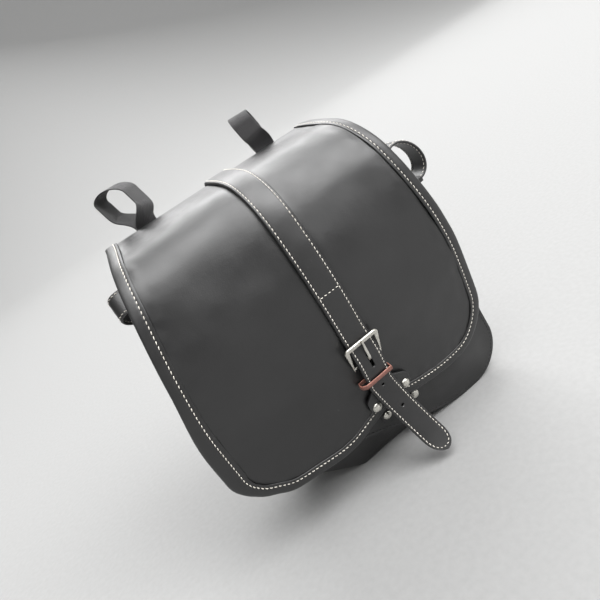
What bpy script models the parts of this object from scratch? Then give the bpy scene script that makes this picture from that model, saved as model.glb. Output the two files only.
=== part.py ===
"""Motorcycle saddlebag: a stiff-backed bag with a deep flap, a buckled centre strap and hanging loops.

Metres. +Z is up, -Y is the front with the buckle, +Y is the side that lies against the motorcycle.
The bag stands on its flat bottom at Z = 0. Everything is laid out in bag coordinates, where X = 0 is
the middle of the bag and Y = 0 is the rear face of the back panel, under one empty that carries them
to the model's origin.
"""

from math import asin, atan, atan2, cos, hypot, pi, radians, sin, sqrt

import bmesh
import bpy
from mathutils import Matrix, Vector

# Driving dimensions of the bag
BAG_TOP = 0.372
BODY_DEPTH = 0.108
BOTTOM_HALF_WIDTH = 0.152
MOUTH_HALF_WIDTH = 0.130
CORNER_RADIUS = 0.052
MOUTH_BACK_Z = 0.354
MOUTH_FRONT_Z = 0.304
FRONT_BULGE = 0.0086
RISE = 0.060
RISE_FROM = -0.090
RISE_OVER = 0.210
RISE_STARTS = 0.084
CORNER_LIFT = 0.064
CORNER_LIFT_FROM = -0.130
CORNER_LIFT_OVER = 0.090
RISE_FADES = 0.250
SPREAD = 0.030
SPREAD_FADES = (0.112, 0.148)
ORIGIN_SHIFT = Vector((-0.0155, 0.0608, 0.0))

# Leather, board and webbing thicknesses, and the gap that touching pieces keep
GAP = 0.0003
PANEL = 0.0024
LINING = 0.0014
BINDING = 0.0010
BOARD = 0.0022
BACK_THICKNESS = 0.0030
SEAM_STRIP = 0.0012
RIM = 0.006
WEBBING = 0.0015
STRAP_THICKNESS = 0.0036
CHAPE_THICKNESS = 0.0030

# The flap: distances along its length start at the hinge line
HINGE_Y = -0.0075
HINGE_Z = BAG_TOP
FLAP_SEAM = 0.0012
FLAP_LENGTH = 0.378
FLAP_TOP_HALF_WIDTH = 0.1365
FLAP_HALF_WIDTH = 0.1725
FLAP_WIDEST_AT = 0.270
FLAP_CORNER = 0.053
FLAP_CROWN = 0.0085
LEFT_LOBE_DROP = 0.0185
RIGHT_LOBE_DROP = 0.0140
NOTCH_RISE = 0.0015
NOTCH_REACH = 0.42
NOTCH_ROUNDING = 0.06
LEFT_SWELL = 0.0065
LEFT_TUCK = 0.0095
BINDING_WIDTH = 0.0145
EDGE_ROOM = 0.0026
# Slope of the flap's side view: (distance along it, degrees below the horizontal)
FLAP_SLOPE = (
    (0.0, 2.0), (0.066, 16.0), (0.136, 73.0), (0.208, 85.0), (0.280, 95.0), (0.352, 96.5), (0.45, 100.8),
)

# The centre strap and its buckle, as distances along the flap
STRAP_X = 0.0095
STRAP_WIDTH = 0.030
STRAP_START = 0.009
STRAP_CROSS_SEAM = 0.2135
TAIL_END = 0.431
TAIL_DRIFT = 0.021
DRIFT_FROM = 0.331
TAIL_FLARE = 4.8
FLARE_FROM = 0.340
TOE_BAR_AT = 0.2700
HEEL_BAR_AT = 0.2980
KEEPER_AT = 0.3200
HOLE_PITCH = 0.039
HEEL_BAR_RADIUS = 0.0015
HEEL_BAR_HEIGHT = 0.0062
CHAPE_ROLL_RADIUS = 0.0033
BUCKLE_WIDTH = 0.0435
BUCKLE_BAR = 0.0055
BUCKLE_THICKNESS = 0.0026
CHAPE_DRIFT = 0.006
RIVET_AT = 0.3605
RIVET_SPREAD = 0.021
RIVET_RADIUS = 0.0059
RIVET_SHANK_RADIUS = 0.0014
RIVET_HOLE_RADIUS = 0.0018
BURR_RADIUS = 0.0045
BURR_HOLE_RADIUS = 0.0017
BURR_THICKNESS = 0.0008

# The lock tab on the front panel, and the flat magnetic snap between it and the flap
LOCK_Z = 0.0605
LOCK_TOP = 0.122
LOCK_DRIFT = 0.016
LOCK_THICKNESS = 0.0020
LOCK_CLEARANCE = 0.0009
LOCK_RIVET_STAND = 0.0009
SNAP_AT = 0.344
SNAP_DRIFT = 0.008
SNAP_RADIUS = 0.0085
SNAP_PLATE = 0.0016
SNAP_PARTED = 0.0004
SNAP_CLEARANCE = 0.0018

# The two webbing loops behind the top edge, and the two leather loops at the sides
WEB_WIDTH = 0.025
# name, position, turn of the arch, half the distance between its legs, height, sideways lean
WEB_LOOPS = (
    ("web_loop_left", -0.083, radians(40), 0.0215, 0.0630, 0.17),
    ("web_loop_right", 0.0835, radians(-66), 0.0145, 0.0570, 0.06),
)
WEB_BURIED = 0.024
WEB_ROOT_GAP = 0.0026
WEB_LEAN = radians(24)
WEB_Y = 0.0034
WEB_Z = BAG_TOP - 0.004
# name, side, twist, depth, height, how far it reaches out, how tall it is, how far its end sags
SIDE_LOOPS = (
    ("side_loop_left", -1, radians(50), -0.038, 0.3165, 0.028, 0.034, -0.006),
    ("side_loop_right", 1, 0.0, -0.080, 0.289, 0.0700, 0.050, 0.011),
)
SIDE_LOOP_WIDTH = 0.028
SIDE_TWIST_OVER = 0.014
SIDE_LEATHER = 0.0026
SIDE_PATCH = 0.0018

MATERIALS = {
    "black_leather": ((0.030, 0.030, 0.032), 0.45, 0.0),
    "leather_lining": ((0.060, 0.058, 0.055), 0.80, 0.0),
    "raw_edge": ((0.36, 0.33, 0.28), 0.85, 0.0),
    "board": ((0.20, 0.17, 0.13), 0.85, 0.0),
    "brown_leather": ((0.18, 0.085, 0.065), 0.55, 0.0),
    "webbing": ((0.022, 0.021, 0.022), 0.90, 0.0),
    "nickel": ((0.66, 0.64, 0.60), 0.28, 1.0),
}


def clear_scene():
    for old in list(bpy.data.objects):
        bpy.data.objects.remove(old, do_unlink=True)


def new_collection(name):
    collection = bpy.data.collections.new(name)
    bpy.context.scene.collection.children.link(collection)
    return collection


def new_material(name):
    colour, roughness, metallic = MATERIALS[name]
    material = bpy.data.materials.new(name)
    material.use_nodes = True
    shader = material.node_tree.nodes["Principled BSDF"]
    shader.inputs["Base Color"].default_value = (*colour, 1.0)
    shader.inputs["Roughness"].default_value = roughness
    shader.inputs["Metallic"].default_value = metallic
    material.diffuse_color = (*colour, 1.0)
    return material


clear_scene()
BAG = new_collection("saddlebag")
CUTTERS = new_collection("saddlebag_cutters")
FINISH = {name: new_material(name) for name in MATERIALS}
PLACES = {}


# ---------------------------------------------------------------- placing and shaping helpers

def add_frame(name, place=(0, 0, 0), parent=None):
    """An empty at a place in bag coordinates: the bag's own frame, or a joint's axis."""
    frame = bpy.data.objects.new(name, None)
    frame.empty_display_size = 0.02
    BAG.objects.link(frame)
    PLACES[name] = Vector(place)
    if parent is None:
        frame.location = ORIGIN_SHIFT
    else:
        frame.parent = parent
        frame.location = PLACES[name] - PLACES[parent.name]
    return frame


def add_part(name, data, finish, frame, smooth=True):
    """A part whose data is in bag coordinates: its origin becomes its frame's place."""
    part = bpy.data.objects.new(name, data)
    BAG.objects.link(part)
    data.materials.append(FINISH[finish])
    data.transform(Matrix.Translation(-PLACES[frame.name]))
    part.parent = frame
    if smooth and isinstance(data, bpy.types.Mesh):
        data.shade_smooth()
        data.set_sharp_from_angle(angle=radians(35))
    return part


def sheet_mesh(name, columns, rows, place):
    """A grid laid by place(u, v), with u across and v along, both from 0 to 1."""
    mesh = bpy.data.meshes.new(name)
    grid = bmesh.new()
    bmesh.ops.create_grid(grid, x_segments=columns, y_segments=rows, size=0.5)
    for vert in grid.verts:
        vert.co = place(vert.co.x + 0.5, vert.co.y + 0.5)
    grid.to_mesh(mesh)
    grid.free()
    return mesh


def thicken(part, thickness, outward=True):
    """Gives a sheet its thickness, on the side its normals point to or on the other."""
    solid = part.modifiers.new("thickness", "SOLIDIFY")
    solid.thickness = thickness
    solid.offset = 1.0 if outward else -1.0
    return solid


def outline_curve(name, points, thickness, matrix=None):
    """A flat plate: a closed outline filled on both sides, its thickness centred on the outline."""
    curve = bpy.data.curves.new(name, "CURVE")
    curve.dimensions = "2D"
    curve.fill_mode = "BOTH"
    curve.extrude = thickness / 2
    spline = curve.splines.new("POLY")
    spline.points.add(len(points) - 1)
    for point, (x, y) in zip(spline.points, points):
        point.co = (x, y, 0.0, 1.0)
    spline.use_cyclic_u = True
    holder = bpy.data.objects.new(name + "_outline", curve)
    BAG.objects.link(holder)
    if matrix is not None:
        holder.matrix_world = matrix
    bpy.context.view_layer.update()
    mesh = bpy.data.meshes.new_from_object(holder.evaluated_get(bpy.context.evaluated_depsgraph_get()))
    mesh.transform(holder.matrix_world)
    bpy.data.objects.remove(holder, do_unlink=True)
    bpy.data.curves.remove(curve)
    welded = bmesh.new()
    welded.from_mesh(mesh)
    bmesh.ops.remove_doubles(welded, verts=welded.verts, dist=1e-6)
    welded.to_mesh(mesh)
    welded.free()
    mesh.name = name
    return mesh


def arc_points(centre, radius, start, end, count):
    """Points on a circle from one angle to another, in degrees."""
    angles = [radians(start + (end - start) * step / count) for step in range(count + 1)]
    return [(centre[0] + radius * cos(angle), centre[1] + radius * sin(angle)) for angle in angles]


def rounded_rectangle(width, height, radius, centre=(0.0, 0.0)):
    points = []
    for corner, (side_x, side_y) in enumerate(((1, 1), (-1, 1), (-1, -1), (1, -1))):
        middle = (centre[0] + side_x * (width / 2 - radius), centre[1] + side_y * (height / 2 - radius))
        points += arc_points(middle, radius, 90 * corner, 90 * corner + 90, 4)
    return points


def cylinder_mesh(name, radius, depth, matrix, segments=20):
    mesh = bpy.data.meshes.new(name)
    solid = bmesh.new()
    bmesh.ops.create_cone(
        solid, cap_ends=True, segments=segments, radius1=radius, radius2=radius, depth=depth, matrix=matrix
    )
    solid.to_mesh(mesh)
    solid.free()
    return mesh


def cut(part, name, mesh):
    """Takes a cutter's shape out of a part."""
    cutter = bpy.data.objects.new(name, mesh)
    CUTTERS.objects.link(cutter)
    cutter.parent = part.parent
    mesh.transform(Matrix.Translation(-PLACES[part.parent.name]))
    cutter.hide_render = True
    cutter.display_type = "WIRE"
    boolean = part.modifiers.new(name, "BOOLEAN")
    boolean.operation = "DIFFERENCE"
    boolean.object = cutter


def between(low, high, share):
    return low + (high - low) * share


def knot_at(knots, share):
    """A value read off evenly spaced knots, straight between them."""
    spot = share * (len(knots) - 1)
    index = min(int(spot), len(knots) - 2)
    return between(knots[index], knots[index + 1], spot - index)


def smooth_step(share):
    share = min(1.0, max(0.0, share))
    return share * share * (3 - 2 * share)


# ---------------------------------------------------------------- the flap's surface

SLOPE_STEP = 0.002


def flap_slope(along):
    """How steeply the flap falls at a distance from the hinge line, in radians below the horizontal."""
    for (low, low_slope), (high, high_slope) in zip(FLAP_SLOPE, FLAP_SLOPE[1:]):
        if along <= high:
            return radians(between(low_slope, high_slope, max(0.0, along - low) / (high - low)))
    return radians(FLAP_SLOPE[-1][1])


def walk_profile():
    """The flap's side view, stepped along its slope."""
    y, z = HINGE_Y, HINGE_Z
    profile = [(y, z)]
    for step in range(int(FLAP_SLOPE[-1][0] / SLOPE_STEP)):
        slope = flap_slope((step + 0.5) * SLOPE_STEP)
        y -= cos(slope) * SLOPE_STEP
        z -= sin(slope) * SLOPE_STEP
        profile.append((y, z))
    return profile


PROFILE = walk_profile()


def profile_point(along):
    place = min(max(along / SLOPE_STEP, 0.0), len(PROFILE) - 1.001)
    index = int(place)
    (y0, z0), (y1, z1) = PROFILE[index], PROFILE[index + 1]
    return between(y0, y1, place - index), between(z0, z1, place - index)


def flap_half_width(along):
    return between(FLAP_TOP_HALF_WIDTH, FLAP_HALF_WIDTH, smooth_step(along / FLAP_WIDEST_AT))


def edge_half_width(along, side):
    """The flap's left edge swells out above its lower corner."""
    swell = smooth_step((along - 0.200) / 0.090) * (1 - smooth_step((along - 0.318) / 0.040))
    return flap_half_width(along) + (LEFT_SWELL * swell if side < 0 else 0.0)


def left_tuck(across):
    """How much the left lobe's lower edge is shortened."""
    return LEFT_TUCK * smooth_step((-across - 0.20) / 0.40) * (1 - smooth_step((-across - 0.82) / 0.18))


def crown_height(along):
    """How far the flap's middle stands out from its side edges."""
    rise = smooth_step(along / 0.12)
    fall = smooth_step((along - 0.28) / 0.10)
    return FLAP_CROWN * rise * (1 - 0.7 * fall)


def outward(along):
    slope = flap_slope(along)
    return Vector((0.0, -sin(slope), cos(slope)))


def flap_point(x, along, height):
    """A point over the flap's middle surface, at a height along its outward normal."""
    y, z = profile_point(along)
    across = min(1.0, abs(x) / flap_half_width(along))
    crown = crown_height(along) * (1 - across * across)
    return Vector((x, y, z)) + outward(along) * (crown + height)


def flap_end(across):
    """How far the flap reaches at a share of its half width: two rounded lobes with a notch at the strap."""
    drop = RIGHT_LOBE_DROP if across > 0 else LEFT_LOBE_DROP
    from_strap = hypot(across - STRAP_X / FLAP_HALF_WIDTH, NOTCH_ROUNDING) - NOTCH_ROUNDING
    lobe = drop * sin(pi * min(1.0, from_strap / 0.95))
    notch = NOTCH_RISE * (1 - smooth_step(from_strap / NOTCH_REACH))
    corner_share = FLAP_CORNER / FLAP_HALF_WIDTH
    past = max(0.0, (abs(across) - (1 - corner_share)) / corner_share)
    corner = FLAP_CORNER * (1 - sqrt(max(0.0, 1 - past * past)))
    return FLAP_LENGTH + lobe - notch - corner - left_tuck(across)


def flap_grid_point(u, v, height, inset):
    """A point of a flap layer: columns crowd towards the side edges, where the corners are round."""
    across = sin((u - 0.5) * pi)
    start, end = FLAP_SEAM, flap_end(across) - inset
    along = between(start, end, v)
    x = across * (edge_half_width(along, across) - inset)
    return flap_point(x, along, height)


def flap_outline(share):
    """A point (x, along) on the flap's edge, from its left seam end round the bottom to its right one."""
    side = FLAP_ROWS / EDGE_STEPS
    corner_along = flap_end(1.0)
    if share < side:
        along = between(FLAP_SEAM, flap_end(-1.0), share / side)
        return -edge_half_width(along, -1), along
    if share > 1 - side:
        along = between(FLAP_SEAM, corner_along, (1 - share) / side)
        return flap_half_width(along), along
    across = sin(between(-0.5, 0.5, (share - side) / (1 - 2 * side)) * pi)
    along = flap_end(across)
    return across * edge_half_width(along, across), along


def flap_edge_point(share, inward, height):
    """A point a distance inward from the flap's edge, over its surface."""
    x, along = flap_outline(share)
    before, after = flap_outline(max(0.0, share - 0.004)), flap_outline(min(1.0, share + 0.004))
    run, rise = after[0] - before[0], after[1] - before[1]
    length = hypot(run, rise)
    x += inward * rise / length
    along -= inward * run / length
    return flap_point(x, along, height)


# ---------------------------------------------------------------- the bag's body

def body_half_width(z):
    share = (z - CORNER_RADIUS) / (MOUTH_BACK_Z - CORNER_RADIUS)
    return between(BOTTOM_HALF_WIDTH, MOUTH_HALF_WIDTH, min(1.0, max(0.0, share)))


def body_outline(share, out=0.0, top=MOUTH_BACK_Z):
    """A point (x, z) on the bag's U outline, from the left mouth down and round to the right mouth."""
    side, corner = 0.24, 0.16
    mirrored = min(share, 1 - share)
    if mirrored < side:
        z = between(top, CORNER_RADIUS, mirrored / side)
        x = body_half_width(z) + out
    elif mirrored < side + corner:
        angle = (mirrored - side) / corner * pi / 2
        reach = CORNER_RADIUS + out
        x = BOTTOM_HALF_WIDTH - CORNER_RADIUS + reach * cos(angle)
        z = CORNER_RADIUS - reach * sin(angle)
    else:
        along_bottom = (mirrored - side - corner) / (0.5 - side - corner)
        x = between(BOTTOM_HALF_WIDTH - CORNER_RADIUS, 0.0, along_bottom)
        z = -out
    return (x if share > 0.5 else -x), z


def bottom_rise(x):
    """How far the front's lower edge stands above the base: the bottom is cut away towards the left."""
    return RISE * (1 - smooth_step((x - RISE_FROM) / RISE_OVER))


def corner_lift(x):
    """The body's lower left corner stands higher than its right one, at every depth."""
    share = min(1.0, max(0.0, (x - CORNER_LIFT_FROM) / CORNER_LIFT_OVER))
    return CORNER_LIFT * (1 - share) ** 1.2


def spread(x, z):
    """How far the front bellies out to the right in its lower part."""
    start, over = SPREAD_FADES
    return SPREAD * smooth_step((x + 0.030) / 0.150) * (1 - smooth_step((z - start) / over))


def without_spread(x, z):
    narrow = x
    for _ in range(8):
        narrow = x - spread(narrow, z)
    return narrow


def lifted(x, z, y):
    """Moves a point (x, z) of the U outline with the front's rise and spread, which fade towards the back."""
    depth = smooth_step((-y - RISE_STARTS) / (BODY_DEPTH - RISE_STARTS))
    x += spread(x, z) * smooth_step((-y - 0.010) / (BODY_DEPTH - 0.012))
    fade = 1 - min(1.0, max(0.0, (z - CORNER_RADIUS) / RISE_FADES))
    higher = z + between(corner_lift(x), bottom_rise(x), depth) * fade
    return x * body_half_width(higher) / body_half_width(z), higher


def mouth_height(y):
    """The gusset's top edge falls from the back to the front."""
    return between(MOUTH_BACK_Z, MOUTH_FRONT_Z, min(1.0, max(0.0, -y / BODY_DEPTH)))


GUSSET_ROWS = (
    -BODY_DEPTH + SEAM_STRIP + 2 * GAP, -0.102, -0.098, -0.093, -0.087, -RISE_STARTS,
    -BACK_THICKNESS - SEAM_STRIP - 2 * GAP,
)


def gusset_point(u, v):
    y = knot_at(GUSSET_ROWS, v)
    x, z = lifted(*body_outline(u, top=mouth_height(y)), y)
    return Vector((x, y, z))


def front_bottom(across):
    corner_share = CORNER_RADIUS / BOTTOM_HALF_WIDTH
    past = max(0.0, (abs(across) - (1 - corner_share)) / corner_share)
    corner = CORNER_RADIUS * (1 - sqrt(max(0.0, 1 - past * past)))
    x = across * BOTTOM_HALF_WIDTH
    return corner + bottom_rise(x + spread(x, corner))


def front_surface_y(x, z):
    """The front panel's rear face: flat at its sewn rim, pillowed inside it, flatter towards the mouth."""
    across = max(-1.0, min(1.0, without_spread(x, z) / body_half_width(z)))
    from_side = body_half_width(z) * (1 - abs(across))
    from_bottom = z - front_bottom(across)
    pillow = smooth_step((from_side - RIM) / 0.060) * smooth_step((from_bottom - RIM) / 0.046)
    return -BODY_DEPTH - FRONT_BULGE * pillow * (1 - 0.55 * smooth_step((z - 0.17) / 0.11))


def front_point(u, v):
    across = sin((u - 0.5) * pi)
    z = between(front_bottom(across) + GAP, MOUTH_FRONT_Z, v ** 1.35)
    x = across * body_half_width(z)
    x += spread(x, z)
    return Vector((x, front_surface_y(x, z), z))


def body_plate_points(inset, top, count=10):
    """The closed outline of a flat plate inside the bag's U outline."""
    steps = range(6 * count + 1)
    points = [lifted(*body_outline(step / (6 * count), out=-inset, top=top), 0.0) for step in steps]
    kept = [points[0]]
    for point in points[1:]:
        if hypot(point[0] - kept[-1][0], point[1] - kept[-1][1]) > 0.006 or point == points[-1]:
            kept.append(point)
    return kept


def upright(y):
    """Stands a flat outline up in the XZ plane at a given Y."""
    return Matrix.Translation((0, y, 0)) @ Matrix.Rotation(pi / 2, 4, "X")


def make_back(frame):
    plate = body_plate_points(0.0, BAG_TOP - 0.008)
    panel = outline_curve("back_panel", plate, BACK_THICKNESS, upright(-BACK_THICKNESS / 2))
    add_part("back_panel", panel, "black_leather", frame, smooth=False)
    stiffener = body_plate_points(0.0066, MOUTH_BACK_Z - 0.006)
    board = outline_curve("back_board", stiffener, BOARD, upright(-BACK_THICKNESS - GAP - BOARD / 2))
    add_part("back_board", board, "board", frame, smooth=False)


def make_top_binding(frame):
    """Caps the back panel's top edge, where the flap is sewn on."""
    half = body_half_width(BAG_TOP) - 0.001
    section = (
        (0.0003, -0.020), (0.0003, -0.0045), (-0.0006, -0.0032),
        (-0.0024, -0.0032), (-0.0033, -0.0045), (-0.0033, -0.014),
    )

    def place(u, v):
        y, drop = (knot_at([knot[axis] for knot in section], v) for axis in (0, 1))
        return Vector((between(half, -half, u), y, BAG_TOP + drop))

    folded = sheet_mesh("top_binding", 2, len(section) - 1, place)
    thicken(add_part("top_binding", folded, "black_leather", frame), BINDING)


def make_gusset(frame):
    skin = sheet_mesh("gusset", 44, len(GUSSET_ROWS) - 1, gusset_point)
    part = add_part("gusset", skin, "black_leather", frame)
    thicken(part, PANEL)


def make_front(frame):
    part = add_part("front_panel", sheet_mesh("front_panel", 16, 20, front_point), "black_leather", frame)
    thicken(part, PANEL)
    return part


def make_welt(name, y, frame):
    """A strip sewn into a seam all round, its light cut edge flush with the gusset."""
    def place(u, v):
        x, z = lifted(*body_outline(u, out=between(-0.0045, 0.0, v), top=mouth_height(y)), y)
        return Vector((x, y, z))

    part = add_part(name, sheet_mesh(name, 44, 1, place), "raw_edge", frame)
    thicken(part, SEAM_STRIP).offset = 0.0


def make_base_board(frame):
    left, right = CORNER_LIFT_FROM + CORNER_LIFT_OVER + 0.020, BOTTOM_HALF_WIDTH - CORNER_RADIUS
    front, rear = -RISE_STARTS + 0.002, -0.010
    width, depth = right - left, rear - front
    place = Matrix.Translation(((left + right) / 2, (front + rear) / 2, PANEL + GAP + BOARD / 2))
    board = outline_curve("base_board", rounded_rectangle(width, depth, 0.008), BOARD, place)
    add_part("base_board", board, "board", frame, smooth=False)


def make_mouth_band(frame):
    """The facing sewn inside the mouth, down both sides and across the front."""
    drop = 0.018
    inset = PANEL + GAP + 0.0012

    def route(share):
        """A plan point (x, y) and its mouth height, from the left rear round the front to the right rear."""
        back_y, front_y, round_r = -0.012, -BODY_DEPTH + inset, 0.010
        mirrored = min(share, 1 - share)
        sign = 1.0 if share > 0.5 else -1.0
        side_share, corner_share = 0.30, 0.06
        if mirrored < side_share:
            y = between(back_y, front_y + round_r, mirrored / side_share)
            x = body_half_width(mouth_height(y)) - inset
        elif mirrored < side_share + corner_share:
            angle = (mirrored - side_share) / corner_share * pi / 2
            y = front_y + round_r - round_r * sin(angle)
            x = body_half_width(mouth_height(y)) - inset - round_r + round_r * cos(angle)
        else:
            y = front_y
            start = body_half_width(MOUTH_FRONT_Z) - inset - round_r
            along_front = (mirrored - side_share - corner_share) / (0.5 - side_share - corner_share)
            x = between(start, 0.0, along_front)
        return sign * x, y

    def place(u, v):
        x, y = route(u)
        z = mouth_height(y) - 0.003 - drop * (1 - v)
        lean = (body_half_width(z) - body_half_width(mouth_height(y))) * (1 if x > 0 else -1)
        return Vector((x + lean * min(1.0, abs(x) / 0.1), y, z))

    part = add_part("mouth_band", sheet_mesh("mouth_band", 40, 1, place), "leather_lining", frame)
    thicken(part, 0.0010, outward=False)


# ---------------------------------------------------------------- the flap's layers

FLAP_COLUMNS, FLAP_ROWS, FLAP_BOTTOM_STEPS = 18, 26, 24
EDGE_STEPS = 2 * FLAP_ROWS + FLAP_BOTTOM_STEPS


def make_flap_layers(frame):
    def panel(u, v):
        return flap_grid_point(u, v, 0.0, EDGE_ROOM)

    def lining(u, v):
        return flap_grid_point(u, v, -GAP, EDGE_ROOM)

    skin_mesh = sheet_mesh("flap_panel", FLAP_COLUMNS, FLAP_ROWS, panel)
    skin = add_part("flap_panel", skin_mesh, "black_leather", frame)
    thicken(skin, PANEL, outward=False)
    under_mesh = sheet_mesh("flap_lining", FLAP_COLUMNS, FLAP_ROWS, lining)
    under = add_part("flap_lining", under_mesh, "leather_lining", frame)
    thicken(under, LINING, outward=True)
    return skin, under


def make_flap_binding(frame):
    """A strip folded over the flap's edge and sewn through, with a C section."""
    over, under = PANEL + 1.5 * GAP, -(LINING + 3.5 * GAP)
    top_side = ((BINDING_WIDTH, over), (0.004, over), (0.0012, over))
    section = top_side + ((0.0012, under), (0.004, under), (0.0125, under))

    def place(u, v):
        inward, height = (knot_at([knot[axis] for knot in section], v) for axis in (0, 1))
        return flap_edge_point(u, inward, height)

    folded = sheet_mesh("flap_binding", EDGE_STEPS, len(section) - 1, place)
    part = add_part("flap_binding", folded, "black_leather", frame)
    thicken(part, BINDING, outward=False)
    return part


# ---------------------------------------------------------------- the strap, its buckle and keeper

def strap_drift(along):
    return TAIL_DRIFT * max(0.0, (along - DRIFT_FROM) / (TAIL_END - DRIFT_FROM))


def strap_height(along):
    """Underside of the strap over the flap's surface: on the panel, then over the heel bar, then free."""
    on_panel = PANEL + GAP
    over_heel = HEEL_BAR_HEIGHT + CHAPE_ROLL_RADIUS + GAP + 0.0002
    rise_from = HEEL_BAR_AT - 0.0435
    height = between(on_panel, over_heel, smooth_step((along - rise_from) / (HEEL_BAR_AT - rise_from)))
    past = max(0.0, along - FLARE_FROM)
    return height + TAIL_FLARE * past * past


def strap_sheet(name, start, end, columns, rows, point):
    def place(u, v):
        along = between(start, end, v)
        across = 2 * u - 1
        if point:
            tip = 0.020
            past = max(0.0, (abs(across) - 0.25) / 0.75)
            along = between(start, end - tip * past ** 2.2, v)
        x = STRAP_X + strap_drift(along) + across * STRAP_WIDTH / 2
        return flap_point(x, along, strap_height(along))

    return sheet_mesh(name, columns, rows, place)


def make_strap(frame):
    upper = strap_sheet("strap_upper", STRAP_START, STRAP_CROSS_SEAM, 2, 26, False)
    thicken(add_part("strap_upper", upper, "black_leather", frame), STRAP_THICKNESS, outward=False)
    tail = strap_sheet("strap_tail", STRAP_CROSS_SEAM + 0.0006, TAIL_END, 6, 44, True)
    tail_part = add_part("strap_tail", tail, "black_leather", frame)
    thicken(tail_part, STRAP_THICKNESS, outward=False)
    slot = slot_cutter("prong_slot", HEEL_BAR_AT - 0.0025, 0.0050, 0.0205)
    cut(tail_part, "prong_slot", slot)
    for index in (1, 2):
        hole = slot_cutter(f"strap_hole_{index}", HEEL_BAR_AT - 0.005 + index * HOLE_PITCH, 0.0045, 0.0045)
        cut(tail_part, f"strap_hole_{index}", hole)


def over_flap(x, along, height, tilt=0.0):
    """A frame on the flap: X across, Y up along the flap towards the hinge, Z outward."""
    step = 0.002
    up = (flap_point(x, along - step, 0.0) - flap_point(x, along + step, 0.0)).normalized()
    out = Vector((1, 0, 0)).cross(up)
    place = flap_point(x, along, 0.0) + out * height
    turn = Matrix((Vector((1, 0, 0)), up, out)).transposed().to_4x4()
    return Matrix.Translation(place) @ turn @ Matrix.Rotation(tilt, 4, "X")


def slot_cutter(name, along, width, length):
    middle = over_flap(STRAP_X + strap_drift(along), along, strap_height(along) + STRAP_THICKNESS / 2)
    straight = length - width
    points = arc_points((0, straight / 2), width / 2, 0, 180, 6)
    points += arc_points((0, -straight / 2), width / 2, 180, 360, 6)
    if straight < 1e-6:
        points = arc_points((0, 0), width / 2, 0, 330, 11)
    return outline_curve(name, points, 0.012, middle)


def heel_frame():
    """The buckle's own frame, on the heel bar's axis, tilted so that its toe bar clears the strap."""
    reach = HEEL_BAR_AT - TOE_BAR_AT - BUCKLE_BAR / 2
    bar_height = strap_height(HEEL_BAR_AT - reach) + STRAP_THICKNESS + 0.0009 + BUCKLE_THICKNESS / 2
    tilt = asin((bar_height - HEEL_BAR_HEIGHT) / reach)
    return over_flap(STRAP_X, HEEL_BAR_AT, HEEL_BAR_HEIGHT, tilt)


HEEL = heel_frame()
BUCKLE_REACH = HEEL_BAR_AT - TOE_BAR_AT


def make_buckle(frame):
    """A flat rectangular frame with its toe bar over the strap and a round heel bar under it."""
    half, toe = BUCKLE_WIDTH / 2, BUCKLE_REACH + BUCKLE_BAR / 2
    heel_half = half - 0.0015
    outer = [(heel_half, -0.0030), (half, toe - 0.003), (half - 0.003, toe), (-half + 0.003, toe)]
    outer += [(-half, toe - 0.003), (-heel_half, -0.0030)]
    inner_half = STRAP_WIDTH / 2 + 0.0012
    window_top, window_low = toe - BUCKLE_BAR, -0.02
    inner = [(-inner_half, window_low), (-inner_half, window_top)]
    inner += [(inner_half, window_top), (inner_half, window_low)]
    plate = outline_curve("buckle_frame", outer, BUCKLE_THICKNESS, HEEL)
    part = add_part("buckle_frame", plate, "nickel", frame, smooth=False)
    window = outline_curve("buckle_window", inner, 0.02, HEEL)
    cut(part, "buckle_window", window)
    sideways = Matrix.Rotation(pi / 2, 4, "Y")
    bar = cylinder_mesh("heel_bar", HEEL_BAR_RADIUS, 2 * inner_half + 0.004, HEEL @ sideways, segments=16)
    join(part, "heel_bar", bar)
    edges = part.modifiers.new("softened_edges", "BEVEL")
    edges.width = 0.0005
    edges.segments = 1
    edges.limit_method = "ANGLE"
    edges.angle_limit = radians(50)


def join(part, name, mesh):
    """Adds another shape to a part as one body."""
    cut(part, name, mesh)
    part.modifiers[name].operation = "UNION"


def make_prong(frame):
    """A tongue that turns on the heel bar, comes up through the strap and rests on the toe bar."""
    bore, wall = HEEL_BAR_RADIUS + 0.0002, 0.0011
    on_bar = HEEL @ Matrix.Rotation(pi / 2, 4, "Y")
    ring = cylinder_mesh("buckle_prong", bore + wall, 0.0034, on_bar)
    part = add_part("buckle_prong", ring, "nickel", frame)
    reach = BUCKLE_REACH + BUCKLE_BAR / 2 + 0.0005
    low, top = 0.0010, BUCKLE_THICKNESS / 2 + GAP
    tongue = [(0.0012, low), (0.0040, 0.0050), (0.0085, 0.0062), (reach - 0.010, 0.0032), (reach, top)]
    upper = [(reach, top + 0.0012), (reach - 0.010, 0.0052), (0.0085, 0.0083)]
    upper += [(0.0028, 0.0070), (-0.0010, 0.0020)]
    side = HEEL @ Matrix(((0, 0, 1, 0), (1, 0, 0, 0), (0, 1, 0, 0), (0, 0, 0, 1)))
    join(part, "tongue", outline_curve("tongue", tongue + upper, 0.0030, side))
    cut(part, "prong_bore", cylinder_mesh("prong_bore", bore, 0.012, on_bar))


def chape_drift(along):
    """The chape leans to the right, like the strap's tail."""
    return CHAPE_DRIFT * smooth_step((along - HEEL_BAR_AT - 0.020) / 0.034)


def chape_half_width(along):
    neck, foot = 0.0130, RIVET_SPREAD + 0.0085
    return between(neck, foot, smooth_step((along - HEEL_BAR_AT - 0.036) / 0.016))


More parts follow.
